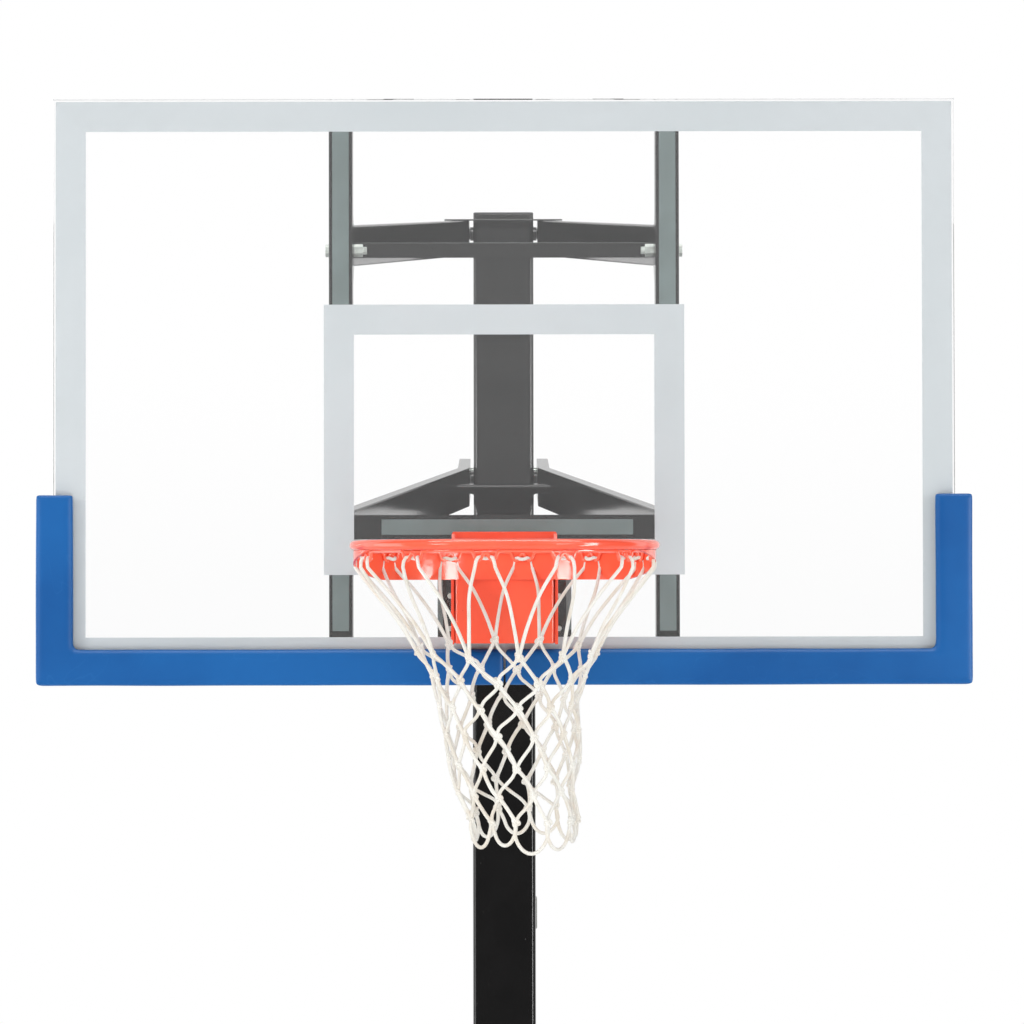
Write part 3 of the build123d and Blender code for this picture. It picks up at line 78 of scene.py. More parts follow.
def remap(tree, source, low, high, toLow=0.0, toHigh=1.0, curve="LINEAR"):
    sockets = {"Value": source, "From Min": low, "From Max": high, "To Min": toLow, "To Max": toHigh}
    return addNode(tree, "ShaderNodeMapRange", {"interpolation_type": curve}, sockets).outputs[0]


def ramp(tree, source, low, high, toLow=0.0, toHigh=1.0):
    return remap(tree, source, low, high, toLow, toHigh, "SMOOTHSTEP")


def bumped(tree, height, strength, distance, normal=None):
    sockets = {"Height": height, "Strength": strength, "Distance": distance}
    if normal:
        sockets["Normal"] = normal
    return addNode(tree, "ShaderNodeBump", {}, sockets).outputs[0]


def blendColour(tree, factor, first, second):
    mixed = addNode(tree, "ShaderNodeMix", {"data_type": "RGBA"}, {0: factor, 6: first, 7: second})
    return mixed.outputs[2]


def blendShader(tree, factor, first, second):
    return addNode(tree, "ShaderNodeMixShader", {}, {0: factor, 1: first, 2: second}).outputs[0]


def newMaterial(name):
    material = bpy.data.materials.new(name)
    material.use_nodes = True
    material.node_tree.nodes.clear()
    place = addNode(material.node_tree, "ShaderNodeTexCoord").outputs["Object"]
    return material, material.node_tree, place


def endMaterial(tree, shader):
    addNode(tree, "ShaderNodeOutputMaterial", {}, {"Surface": shader})


def endPrincipled(tree, sockets):
    endMaterial(tree, addNode(tree, "ShaderNodeBsdfPrincipled", {}, sockets).outputs[0])


def addToScene(piece):
    bpy.context.scene.collection.objects.link(piece)
    return piece


def meshObject(name, mesh, material=None):
    if material:
        mesh.materials.clear()
        mesh.materials.append(material)
    return addToScene(bpy.data.objects.new(name, mesh))


def evaluatedMesh(piece):
    return bpy.data.meshes.new_from_object(piece.evaluated_get(bpy.context.evaluated_depsgraph_get()))


# the camera stands on the court, facing the board, with a long lens
cameraLook = {"place": (-0.006, -6.983, 2.487), "pitch": 0.970, "roll": 0.10, "yaw": -0.186,
              "lensMm": 120.2, "sensorMm": 36, "clipM": 100}
cameraData = bpy.data.cameras.new("camera")
cameraData.lens = cameraLook["lensMm"]
cameraData.sensor_width = cameraLook["sensorMm"]
cameraData.clip_end = cameraLook["clipM"]
camera = addToScene(bpy.data.objects.new("camera", cameraData))
camera.location = cameraLook["place"]
camera.rotation_euler = (radians(90 + cameraLook["pitch"]), radians(cameraLook["roll"]), radians(cameraLook["yaw"]))
bpy.context.scene.camera = camera
bpy.context.scene.view_settings.view_transform = "Standard"

# strengths of the room as gloss sees it, by the direction's Y and Z, and of the fill that lights matt surfaces
studioLook = {"fill": 0.73, "fillColour": "#fbfcff",
              "low": 0.26, "high": 0.95, "lowZ": -0.03, "highZ": 0.07,
              "side": 0.22, "turnStart": -0.40, "turnEnd": 0.05,
              "screen": 2.0, "screenStart": 0.30, "screenEnd": 0.50,
              "middle": 0.85, "middleStart": 0.86, "middleEnd": 0.96}
pureWhite = hexLinear("#ffffff")

world = bpy.data.worlds.new("studio")
bpy.context.scene.world = world
world.use_nodes = True
tree = world.node_tree
tree.nodes.clear()
path = addNode(tree, "ShaderNodeLightPath")
direction = addNode(tree, "ShaderNodeTexCoord").outputs["Generated"]
axes = addNode(tree, "ShaderNodeSeparateXYZ", {}, {0: direction})
behind = ramp(tree, axes.outputs["Y"], studioLook["turnStart"], studioLook["turnEnd"])
# gloss sees a white upper room over a dim lower one in front, and dim walls at the sides
risen = ramp(tree, axes.outputs["Z"], studioLook["lowZ"], studioLook["highZ"])
front = remap(tree, risen, 0.0, 1.0, studioLook["low"], studioLook["high"])
roomShine = remap(tree, behind, 0.0, 1.0, front, studioLook["side"])
# behind the hoop hangs the bright backdrop, which only grazing gloss picks up
middle = ramp(tree, axes.outputs["Y"], studioLook["middleStart"], studioLook["middleEnd"],
              studioLook["screen"], studioLook["middle"])
screen = ramp(tree, axes.outputs["Y"], studioLook["screenStart"], studioLook["screenEnd"], 0.0, middle)
shine = calculate(tree, "MAXIMUM", roomShine, screen)
seen = calculate(tree, "MAXIMUM", path.outputs["Is Camera Ray"], path.outputs["Is Transmission Ray"])
soft, glossy, white = (
    addNode(tree, "ShaderNodeBackground", {}, {"Color": colour, "Strength": strength}).outputs[0]
    for colour, strength in ((hexLinear(studioLook["fillColour"]), studioLook["fill"]),
                             (pureWhite, shine), (pureWhite, 1.0)))
lit = blendShader(tree, path.outputs["Is Glossy Ray"], soft, glossy)
addNode(tree, "ShaderNodeOutputWorld", {}, {"Surface": blendShader(tree, seen, lit, white)})

# a lamp with "tall" is a rectangle, and each lamp lights either matt surfaces or gloss
lampLooks = (
    {"name": "keyLamp", "place": (-4.6, -4.6, 4.6), "aim": (0, -0.8, 2.4), "size": 2.0,
     "watts": 90, "hides": "glossy"},
    {"name": "sideLamp", "place": (5.0, -4.2, 3.6), "aim": (0, -0.8, 2.3), "size": 2.0,
     "watts": 55, "hides": "glossy"},
    {"name": "leftSoftbox", "place": (-3.9, -5.0, 2.7), "aim": (0, -0.2, 2.5), "size": 1.2,
     "watts": 75, "hides": "diffuse"},
    {"name": "rightSoftbox", "place": (3.5, -5.3, 2.7), "aim": (0, -0.2, 2.5), "size": 1.2,
     "watts": 75, "hides": "diffuse"},
    {"name": "lowLamp", "place": (-0.5, -5.6, 1.2), "aim": (0, -0.6, 2.3), "size": 2.4,
     "watts": 60, "hides": "glossy"},
    {"name": "topLamp", "place": (0, -2.2, 5.6), "aim": (0, 0.3, 2.8), "size": 5.0, "tall": 1.0,
     "watts": 200, "hides": "diffuse"},
    {"name": "backLamp", "place": (2.6, 4.5, 4.4), "aim": (0, 0, 2.2), "size": 2.0,
     "watts": 50, "hides": "glossy"},
    {"name": "leftStrip", "place": (-4.9, -1.0, 1.9), "aim": (0, 0.5, 1.9), "size": 2.8, "tall": 4.4,
     "watts": 135, "hides": "diffuse"},
    {"name": "rightStrip", "place": (3.6, -3.2, 1.9), "aim": (0, 0.5, 1.9), "size": 0.7, "tall": 4.4,
     "watts": 165, "hides": "diffuse"},
)
for look in lampLooks:
    lampData = bpy.data.lights.new(look["name"], "AREA")
    lampData.shape = "RECTANGLE" if "tall" in look else "DISK"
    lampData.size = look["size"]
    if "tall" in look:
        lampData.size_y = look["tall"]
    lampData.energy = look["watts"]
    lamp = addToScene(bpy.data.objects.new(look["name"], lampData))
    lamp.location = look["place"]
    lamp.rotation_euler = (Vector(look["aim"]) - Vector(look["place"])).to_track_quat("-Z", "Y").to_euler()
    for ray in ("camera", "transmission", look["hides"]):
        setattr(lamp, "visible_" + ray, False)

floorLook = {"half": 9.0, "fadeFrom": 4.0, "mottleScale": 6.0, "colour": "#f4f4f4", "shade": "#f8f8f7",
             "rough": 0.6}
half = floorLook["half"]
floorMesh = bpy.data.meshes.new("floor")
floorMesh.from_pydata([(-half, -half, 0), (half, -half, 0), (half, half, 0), (-half, half, 0)], [],
                      [(0, 1, 2, 3)])
floorMaterial, tree, place = newMaterial("paintedStudioFloor")
# matt white floor paint: pale, with a faint roller mottle, fading out towards the edge
mottle = noiseAt(tree, place, floorLook["mottleScale"], 3.0)
tone = blendColour(tree, mottle, hexLinear(floorLook["colour"]), hexLinear(floorLook["shade"]))
paint = addNode(tree, "ShaderNodeBsdfDiffuse", {}, {"Color": tone, "Roughness": floorLook["rough"]})
distance = addNode(tree, "ShaderNodeVectorMath", {"operation": "LENGTH"}, {0: place}).outputs["Value"]
clear = addNode(tree, "ShaderNodeBsdfTransparent")
faded = ramp(tree, distance, floorLook["fadeFrom"], half)
endMaterial(tree, blendShader(tree, faded, paint.outputs[0], clear.outputs[0]))
floor = meshObject("floor", floorMesh, floorMaterial)
print("studio ready")

# what a finish has unless its own row says otherwise
plainLook = {"toneMm": 90, "toneFrom": 0.35, "toneTo": 0.65, "grainMm": 2.0, "grainFrom": 0.3, "grainTo": 0.7,
             "roughSpread": 0.04, "bump": 0.15, "depthMm": 0.1, "metallic": 0.0, "easeMm": 1.2, "easeSamples": 6,
             "rippleDepthMm": 0.6, "dustBlur": 0.05, "scratchBlur": 0.04, "scratchScale": (260, 260, 18),
             "scratchTurn": (0.25, 0.2, 0), "paintedTopHighlightFrom": 0.25, "paintedTopHighlightTo": 0.70, "sockets": {}}


def finish(name, look):
    look = {**plainLook, **look}
    material, tree, place = newMaterial(name)
    broad = noiseAt(tree, place, 1000 / look["toneMm"], 4.0)
    cloudy = ramp(tree, broad, look["toneFrom"], look["toneTo"])
    colour = blendColour(tree, cloudy, hexLinear(look["colour"]), hexLinear(look["shade"]))
    grain = noiseAt(tree, place, 1000 / look["grainMm"], 2.0)
    rough = remap(tree, grain, look["grainFrom"], look["grainTo"],
                  look["rough"] - look["roughSpread"], look["rough"] + look["roughSpread"])
    if "dust" in look:
        # dust and small chips: sparse specks
        cells = noiseAt(tree, place, 1000 / look["dustMm"], 1.0)
        specks = ramp(tree, cells, look["dustFrom"], look["dustFrom"] + look["dustBlur"])
        colour = blendColour(tree, specks, colour, hexLinear(look["dust"]))
    if "scratch" in look:
        # fine rubs along Z, drawn coarser than they are so that they show
        turn = addNode(tree, "ShaderNodeMapping", {}, {"Vector": place, "Scale": look["scratchScale"],
                       "Rotation": look["scratchTurn"]})
        rubs = noiseAt(tree, turn.outputs[0], 1.0, 3.0)
        worn = ramp(tree, rubs, look["scratchFrom"], look["scratchFrom"] + look["scratchBlur"])
        colour = blendColour(tree, worn, colour, hexLinear(look["scratch"]))
    # sheet and moulded edges catch the light as if they were slightly rounded
    under = addNode(tree, "ShaderNodeBevel", {"samples": look["easeSamples"]},
                    {"Radius": look["easeMm"] / 1000}).outputs[0]
    if "paintedTopHighlight" in look:
        # painted highlight: what faces up is made paler, which draws a pale line along the upper edges
        facing = addNode(tree, "ShaderNodeSeparateXYZ", {}, {0: under})
        upward = ramp(tree, facing.outputs["Z"], look["paintedTopHighlightFrom"], look["paintedTopHighlightTo"])
        colour = blendColour(tree, upward, colour, hexLinear(look["paintedTopHighlight"]))
    if "rippleMm" in look:
        # the coat's slow waviness, which breaks up the edges of reflections
        ripple = noiseAt(tree, place, 1000 / look["rippleMm"], 3.0)
        under = bumped(tree, ripple, look["ripple"], look["rippleDepthMm"] / 1000, under)
    normal = bumped(tree, grain, look["bump"], look["depthMm"] / 1000, under)
    endPrincipled(tree, {"Base Color": colour, "Roughness": rough, "Metallic": look["metallic"],
                         "Normal": normal, **look["sockets"]})
    return material


finishLooks = {
    # gloss black powder coat on mild steel: near black, slight orange peel, thin pale rubs
    "black_paint": ("blackPowderCoat", {
        "colour": "#0b0a0a", "shade": "#100f0f", "rough": 0.12, "roughSpread": 0.03, "grainMm": 1.6, "bump": 0.12,
        "depthMm": 0.06, "dust": "#454543", "dustMm": 5.0, "dustFrom": 0.77, "scratch": "#55554f",
        "scratchFrom": 0.80, "easeMm": 3.0, "sockets": {"Specular IOR Level": 0.36}}),
    # orange-red powder coat: bright, wet-looking where it bends, a little darker in random patches
    "orange_paint": ("orangePowderCoat", {
        "colour": "#ff6345", "shade": "#fd5b3f", "rough": 0.12, "roughSpread": 0.05, "rippleMm": 16.0, "ripple": 0.5,
        "grainMm": 2.2, "bump": 0.16, "depthMm": 0.08, "dust": "#d8382a", "dustMm": 7.0, "dustFrom": 0.78}),
    # bright zinc plating on steel fasteners: pale grey with a trace of green, slightly cloudy
    "zinc": ("zincPlate", {
        "colour": "#b8bdb8", "shade": "#cfd5cf", "rough": 0.33, "roughSpread": 0.08, "metallic": 0.85,
        "grainMm": 1.5, "bump": 0.1, "depthMm": 0.05, "toneMm": 9}),
    # grey-green acrylic foam tape squeezed on the glass: even, a little mottled where it wets out
    "tape": ("acrylicFoamTape", {
        "colour": "#5e6b6a", "shade": "#687675", "rough": 0.55, "toneMm": 60, "grainMm": 3.0, "bump": 0.05}),
    # oil-tempered spring steel: dark, brownish-grey and shiny
    "spring_steel": ("springSteel", {
        "colour": "#56534f", "shade": "#6b6862", "rough": 0.3, "metallic": 0.9, "toneMm": 12, "grainMm": 1.0,
        "bump": 0.1}),
    # blow-moulded polyethylene: waxy black-grey with a fine leather texture
    "tank": ("blowMouldedPolyethylene", {
        "colour": "#252628", "shade": "#2e2f31", "rough": 0.5, "roughSpread": 0.08, "grainMm": 2.4, "bump": 0.45,
        "depthMm": 0.25, "toneMm": 160, "dust": "#6b6a66", "dustMm": 6.0, "dustFrom": 0.80}),
    # moulded black plastic: even, satin
    "plastic": ("blackMouldedPlastic", {
        "colour": "#222325", "shade": "#2a2b2d", "rough": 0.42, "grainMm": 1.4, "bump": 0.25, "depthMm": 0.12}),
    # light grey moulded plastic of the clip
    "clip": ("greyMouldedPlastic", {
        "colour": "#9a9a94", "shade": "#a6a6a0", "rough": 0.45, "grainMm": 1.4, "bump": 0.2, "toneMm": 20}),
    # black nylon spacer: smooth and slightly glossy
    "nylon": ("blackNylon", {
        "colour": "#2c2c2c", "shade": "#363636", "rough": 0.28, "grainMm": 1.2, "bump": 0.1, "toneMm": 10}),
}
blackLook = finishLooks["black_paint"][1]
orangeLook = finishLooks["orange_paint"][1]
finishLooks.update({
    # the orange coat on thin wire, which shines more, with its colour made a little paler as a painted highlight
    "wire_paint": ("orangePowderCoatOnWire", {
        **orangeLook, "colour": "#ff6b4c", "shade": "#ff6143", "rough": 0.08, "easeMm": 0.2,
        "sockets": {"Coat Weight": 0.6, "Coat Roughness": 0.05}}),
    # the black coat on the folded arms, whose corners are bent round
    "folded_black": ("blackPowderCoatOnFolds", {**blackLook, "easeMm": 5.0}),
    # the black coat on the tie bar and plate, with a painted highlight on what faces up
    "dusty_black": ("dustyBlackPowderCoat", {**blackLook, "easeMm": 4.0, "paintedTopHighlight": "#8a8e8b"}),
})
materials = {kind: finish(name, look) for kind, (name, look) in finishLooks.items()}

# tempered float glass: clear, with a light haze of dust and a mirror-like face
glassLook = {"haze": 0.006, "tint": "#ffffff", "hazeColour": "#f4f8f8", "ior": 1.5,
             "shadowTint": (0.94, 0.95, 0.945, 1)}
materials["glass"], tree, place = newMaterial("temperedGlass")
clean = addNode(tree, "ShaderNodeBsdfPrincipled", {}, {"Base Color": hexLinear(glassLook["tint"]),
                "Roughness": 0.0, "IOR": glassLook["ior"], "Transmission Weight": 1.0})
dustTone = blendColour(tree, noiseAt(tree, place, 5.0, 5.0), hexLinear(glassLook["hazeColour"]), pureWhite)
dust = addNode(tree, "ShaderNodeBsdfDiffuse", {}, {"Color": dustTone})
face = blendShader(tree, glassLook["haze"], clean.outputs[0], dust.outputs[0])
path = addNode(tree, "ShaderNodeLightPath")
passing = calculate(tree, "MAXIMUM", path.outputs["Is Shadow Ray"], path.outputs["Is Diffuse Ray"])
through = addNode(tree, "ShaderNodeBsdfTransparent", {}, {"Color": glassLook["shadowTint"]})
endMaterial(tree, blendShader(tree, passing, face, through.outputs[0]))

# white ceramic frit fired on the glass: matt, dense, very slightly uneven
fritLook = {"colour": "#ccd1d4", "shade": "#d1d5d8", "rough": 0.6, "cloudScale": 3.0, "poreScale": 700.0,
            "pore": 0.05, "poreMm": 0.1}
materials["print"], tree, place = newMaterial("whiteCeramicFrit")
cloud = noiseAt(tree, place, fritLook["cloudScale"], 4.0)
tone = blendColour(tree, ramp(tree, cloud, 0.3, 0.7), hexLinear(fritLook["colour"]), hexLinear(fritLook["shade"]))
pores = bumped(tree, noiseAt(tree, place, fritLook["poreScale"], 1.0), fritLook["pore"], fritLook["poreMm"] / 1000)
endPrincipled(tree, {"Base Color": tone, "Roughness": fritLook["rough"], "Normal": pores})

slotOf = {row["node"]: row["material_slot"] for row in frame["record"]["subparts"]}
finishOf = {**slotOf, "upper_tie_bar": "dusty_black", "upper_tie_plate": "dusty_black",
            "upper_arm_left": "folded_black", "upper_arm_right": "folded_black",
            "lower_arm_left": "folded_black", "lower_arm_right": "folded_black"}
for name, node in nodes.items():
    if finishOf[name] in materials:
        node.data.materials.clear()
        node.data.materials.append(materials[finishOf[name]])
print("finishes ready")

padLook = {"colour": "#095193", "shade": "#135fa3", "edge": "#3b79b8", "edgeBlend": 0.25,
           "crease": "#2f74b4", "creased": 0.16, "foldScale": 7.0, "foldBend": 1.2, "foldLevel": 0.56,
           "foldWidth": 0.004, "cloudScale": 4.0, "rough": 0.42, "specular": 0.18,
           "pebbleScale": 420.0, "pebble": 0.15, "pebbleMm": 0.2, "swellScale": 14.0, "swell": 0.25, "swellMm": 4.0,
           "voxelMm": 3.4, "rounds": 16, "waveMm": 0.8, "waveEveryMm": 140, "waveLevel": 0.35}
materials["pad"], tree, place = newMaterial("mouldedBlueFoam")
# moulded polyurethane skin: saturated blue, satin, softly uneven with a fine pebble
cloud = noiseAt(tree, place, padLook["cloudScale"], 5.0)
tone = blendColour(tree, ramp(tree, cloud, 0.3, 0.7), hexLinear(padLook["colour"]), hexLinear(padLook["shade"]))
# faint pale creases where the skin has been pressed, a few centimetres long
bent = noiseAt(tree, place, padLook["foldScale"], 2.0, padLook["foldBend"])
fold = calculate(tree, "ABSOLUTE", calculate(tree, "SUBTRACT", bent, padLook["foldLevel"]))
creased = remap(tree, fold, 0.0, padLook["foldWidth"], padLook["creased"], 0.0)
tone = blendColour(tree, creased, tone, hexLinear(padLook["crease"]))
swelling = noiseAt(tree, place, padLook["swellScale"], 2.0)
swollen = bumped(tree, swelling, padLook["swell"], padLook["swellMm"] / 1000)
pebble = noiseAt(tree, place, padLook["pebbleScale"], 2.0)
normal = bumped(tree, pebble, padLook["pebble"], padLook["pebbleMm"] / 1000, swollen)
# painted sheen: the blue is made paler where the skin turns away from view
facing = addNode(tree, "ShaderNodeLayerWeight", {}, {"Blend": padLook["edgeBlend"]})
tone = blendColour(tree, facing.outputs["Facing"], tone, hexLinear(padLook["edge"]))
endPrincipled(tree, {"Base Color": tone, "Roughness": padLook["rough"],
                     "Specular IOR Level": padLook["specular"], "Normal": normal})


def softPad(nodeName):
    # the CAD pad with its corners eased and its faces slightly uneven
    shape = bmesh.new()
    shape.from_mesh(nodes[nodeName].data)
    bmesh.ops.remove_doubles(shape, verts=shape.verts, dist=0.00001)
    mesh = bpy.data.meshes.new("foam_" + nodeName)
    shape.to_mesh(mesh)
    shape.free()
    pad = meshObject("foam_" + nodeName, mesh)
    remesh = pad.modifiers.new("remesh", "REMESH")
    remesh.mode = "VOXEL"
    remesh.voxel_size = padLook["voxelMm"] / 1000
    relax = pad.modifiers.new("relax", "SMOOTH")
    relax.factor = 0.5
    relax.iterations = padLook["rounds"]
    plain = evaluatedMesh(pad)
    pad.modifiers.clear()
    pad.data = plain
    for vertex in plain.vertices:
        wave = noise.noise(vertex.co * (1000 / padLook["waveEveryMm"])) - padLook["waveLevel"]
        vertex.co += vertex.normal * wave * padLook["waveMm"] / 1000
    plain.polygons.foreach_set("use_smooth", [True] * len(plain.polygons))
    plain.update()
    plain.materials.clear()
    plain.materials.append(materials["pad"])
    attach(pad, "board")
    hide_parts(nodeName)


for nodeName in ("pad_left", "pad_right"):
    softPad(nodeName)
print("pads ready")

# each knot is a tight trefoil, and the copies vary between the least and the most size
knotLook = {"points": 48, "sizeMm": 2.0, "wide": 0.85, "long": 1.15, "deep": 0.8, "slant": 0.6,
            "least": (0.9, 0.85, 0.9), "most": (1.12, 1.1, 1.1)}


def sweepTree(name, withKnots):
    # a round tube along each line, and a knot at each knot place where the tree has them
    tree = bpy.data.node_groups.new(name, "GeometryNodeTree")
    wanted = [("Line", "Geometry"), ("Radius", "Float"), ("Sides", "Int"), ("Finish", "Material")]
    if withKnots:
        wanted += [("Knot places", "Object"), ("Knot line", "Object"), ("Knot radius", "Float"), ("Seed", "Int")]
    ids = {}
    for label, kind in wanted:
        socket = tree.interface.new_socket(label, in_out="INPUT", socket_type="NodeSocket" + kind)
        ids[label] = socket.identifier
    tree.interface.new_socket("Swept", in_out="OUTPUT", socket_type="NodeSocketGeometry")
    entry = addNode(tree, "NodeGroupInput")

    def captured(geometry, kind, name, value):
        kept = addNode(tree, "GeometryNodeCaptureAttribute", {"domain": "POINT"}, {"Geometry": geometry})
        kept.capture_items.new(kind, name)
        tree.links.new(value, kept.inputs[1])
        return kept.outputs

    def sweep(line, radius):
        # cordPlace holds the direction round the tube in X and Y and the length along it in Z
        along = addNode(tree, "GeometryNodeSplineParameter")
        kept = captured(line, "FLOAT", "length", along.outputs["Length"])
        ringLine = addNode(tree, "GeometryNodeCurvePrimitiveCircle", {},
                           {"Resolution": entry.outputs["Sides"], "Radius": radius})
        around = addNode(tree, "GeometryNodeSplineParameter")
        turned = calculate(tree, "MULTIPLY", around.outputs["Factor"], 2 * pi)
        across = calculate(tree, "COSINE", turned)
        up = calculate(tree, "SINE", turned)
        pair = addNode(tree, "ShaderNodeCombineXYZ", {}, {0: across, 1: up})
        keptRing = captured(ringLine.outputs[0], "VECTOR", "around", pair.outputs[0])
        thick = addNode(tree, "GeometryNodeInputRadius")
        tube = addNode(tree, "GeometryNodeCurveToMesh", {},
                       {"Curve": kept[0], "Profile Curve": keptRing[0], "Fill Caps": True})
        if "Scale" in tube.inputs:
            tree.links.new(thick.outputs[0], tube.inputs["Scale"])
        split = addNode(tree, "ShaderNodeSeparateXYZ", {}, {0: keptRing[1]})
        coordinate = addNode(tree, "ShaderNodeCombineXYZ", {}, {0: split.outputs[0], 1: split.outputs[1], 2: kept[1]})
        stored = addNode(tree, "GeometryNodeStoreNamedAttribute", {"data_type": "FLOAT_VECTOR", "domain": "POINT"},
                         {"Geometry": tube.outputs[0], "Name": "cordPlace", "Value": coordinate.outputs[0]})
        return stored.outputs[0]

    shape = sweep(entry.outputs["Line"], entry.outputs["Radius"])
    if withKnots:
        places = addNode(tree, "GeometryNodeObjectInfo", {}, {"Object": entry.outputs["Knot places"]})
        knotLine = addNode(tree, "GeometryNodeObjectInfo", {}, {"Object": entry.outputs["Knot line"]})
        knot = sweep(knotLine.outputs["Geometry"], entry.outputs["Knot radius"])
        turn = addNode(tree, "GeometryNodeInputNamedAttribute", {"data_type": "FLOAT_VECTOR"}, {"Name": "turn"})
        varied = addNode(tree, "FunctionNodeRandomValue", {"data_type": "FLOAT_VECTOR"},
                         {0: knotLook["least"], 1: knotLook["most"], "Seed": entry.outputs["Seed"]})
        copies = addNode(tree, "GeometryNodeInstanceOnPoints", {},
                         {"Points": places.outputs["Geometry"], "Instance": knot,
                          "Rotation": turn.outputs[0], "Scale": varied.outputs[0]})
        joined = addNode(tree, "GeometryNodeJoinGeometry", {}, {0: shape})
        tree.links.new(copies.outputs[0], joined.inputs[0])
        shape = joined.outputs[0]
    real = addNode(tree, "GeometryNodeRealizeInstances", {}, {0: shape})
    smooth = addNode(tree, "GeometryNodeSetShadeSmooth", {}, {0: real.outputs[0]})
    dressed = addNode(tree, "GeometryNodeSetMaterial", {},
                      {"Geometry": smooth.outputs[0], "Material": entry.outputs["Finish"]})
    addNode(tree, "NodeGroupOutput", {}, {0: dressed.outputs[0]})
    return tree, ids


def curveObject(name, lines, cyclic=False):
    # each line is a list of (place, thickness)
    curve = bpy.data.curves.new(name, "CURVE")
    curve.dimensions = "3D"
    for line in lines:
        spline = curve.splines.new("POLY")
        spline.points.add(len(line) - 1)
        for point, (place, thickness) in zip(spline.points, line):
            point.co = (*place, 1)
            point.radius = thickness
        spline.use_cyclic_u = cyclic
    return addToScene(bpy.data.objects.new(name, curve))


def grow(name, source, tree, ids, values):
    modifier = source.modifiers.new("grow", "NODES")
    modifier.node_group = tree
    for label, value in values.items():
        modifier[ids[label]] = value
    source.update_tag()
    bpy.context.view_layer.update()
    mesh = evaluatedMesh(source)
    bpy.data.objects.remove(source)
    mesh.name = name
    return meshObject(name, mesh)


def catmull(points, every):
    # a smooth line through the points, cut into steps of about the given length
    line = []
    for i in range(len(points) - 1):
        a, b = points[i], points[i + 1]
        before = points[i - 1] if i else a + (a - b)
        after = points[i + 2] if i + 2 < len(points) else b + (b - a)
        steps = max(1, round((b - a).length / every))
        for k in range(steps):
            t = k / steps
            line.append(0.5 * ((2 * a) + (b - before) * t + (2 * before - 5 * a + 4 * b - after) * t * t
                               + (3 * a - before - 3 * b + after) * t ** 3))
    line.append(points[-1])
    return line


def mirrored(outline):
    # half an outline that ends on its middle point, with its other half
    return [*outline, *((-first, *rest) for first, *rest in reversed(outline[:-1]))]


# the wire under the ring: each hook is a W, given as its left half by sideways and height
wireLook = {"hooks": 12, "turnDegrees": -7.3, "radiusMm": 2.7, "halfMm": 22.0, "stepMm": 1.6, "arcSteps": 14,
            "sides": 12,
            "hookMm": ((-22, 0), (-20, -1.2), (-18, -4.8), (-16.2, -9.6), (-13.6, -13.2), (-10, -14.4),
                       (-6.8, -12), (-4.4, -7.6), (-2.2, -4.6), (0, -3.8))}
ringLow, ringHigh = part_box("ring")
wireLow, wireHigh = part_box("net_wire")
ringCentre = Vector(((ringLow.x + ringHigh.x) / 2, (ringLow.y + ringHigh.y) / 2, 0))
wireRadius = (wireHigh.x - wireLow.x) / 2 - wireLook["radiusMm"] / 1000
wireZ = wireHigh.z - wireLook["radiusMm"] / 1000


def ringAxes(angle):
    # outwards and along the ring at an angle, in degrees from the court side
    turn = radians(angle - 90)
    return Vector((cos(turn), sin(turn), 0)), Vector((-sin(turn), cos(turn), 0))


def aroundRing(angle, radius, z, sideways=0.0):
    outward, along = ringAxes(angle)
    return ringCentre + outward * radius + along * sideways + Vector((0, 0, z))


def fromAxis(point, lean=0.0):
    return Vector((point.x - ringCentre.x - lean, point.y - ringCentre.y, 0)).normalized()


pitch = 360 / wireLook["hooks"]
hookAngles = [wireLook["turnDegrees"] + pitch * n for n in range(wireLook["hooks"])]
halfTurn = degrees(asin(wireLook["halfMm"] / 1000 / wireRadius))
gap = pitch - 2 * halfTurn
wireLine = []
for angle in hookAngles:
    hook = [aroundRing(angle, wireRadius, wireZ + z / 1000, x / 1000) for x, z in mirrored(wireLook["hookMm"])]
    wireLine += catmull(hook, wireLook["stepMm"] / 1000)[:-1]
    wireLine += [aroundRing(angle + halfTurn + gap * k / wireLook["arcSteps"], wireRadius, wireZ)
                 for k in range(1, wireLook["arcSteps"])]
tree, ids = sweepTree("sweepWire", False)
wire = grow("netWire", curveObject("wireLine", [[(p, 1.0) for p in wireLine]], True), tree, ids,
            {"Radius": wireLook["radiusMm"] / 1000, "Sides": wireLook["sides"], "Finish": materials["wire_paint"]})
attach(wire, "rim")
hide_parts("net_wire")
print("wire ready", len(wire.data.polygons))

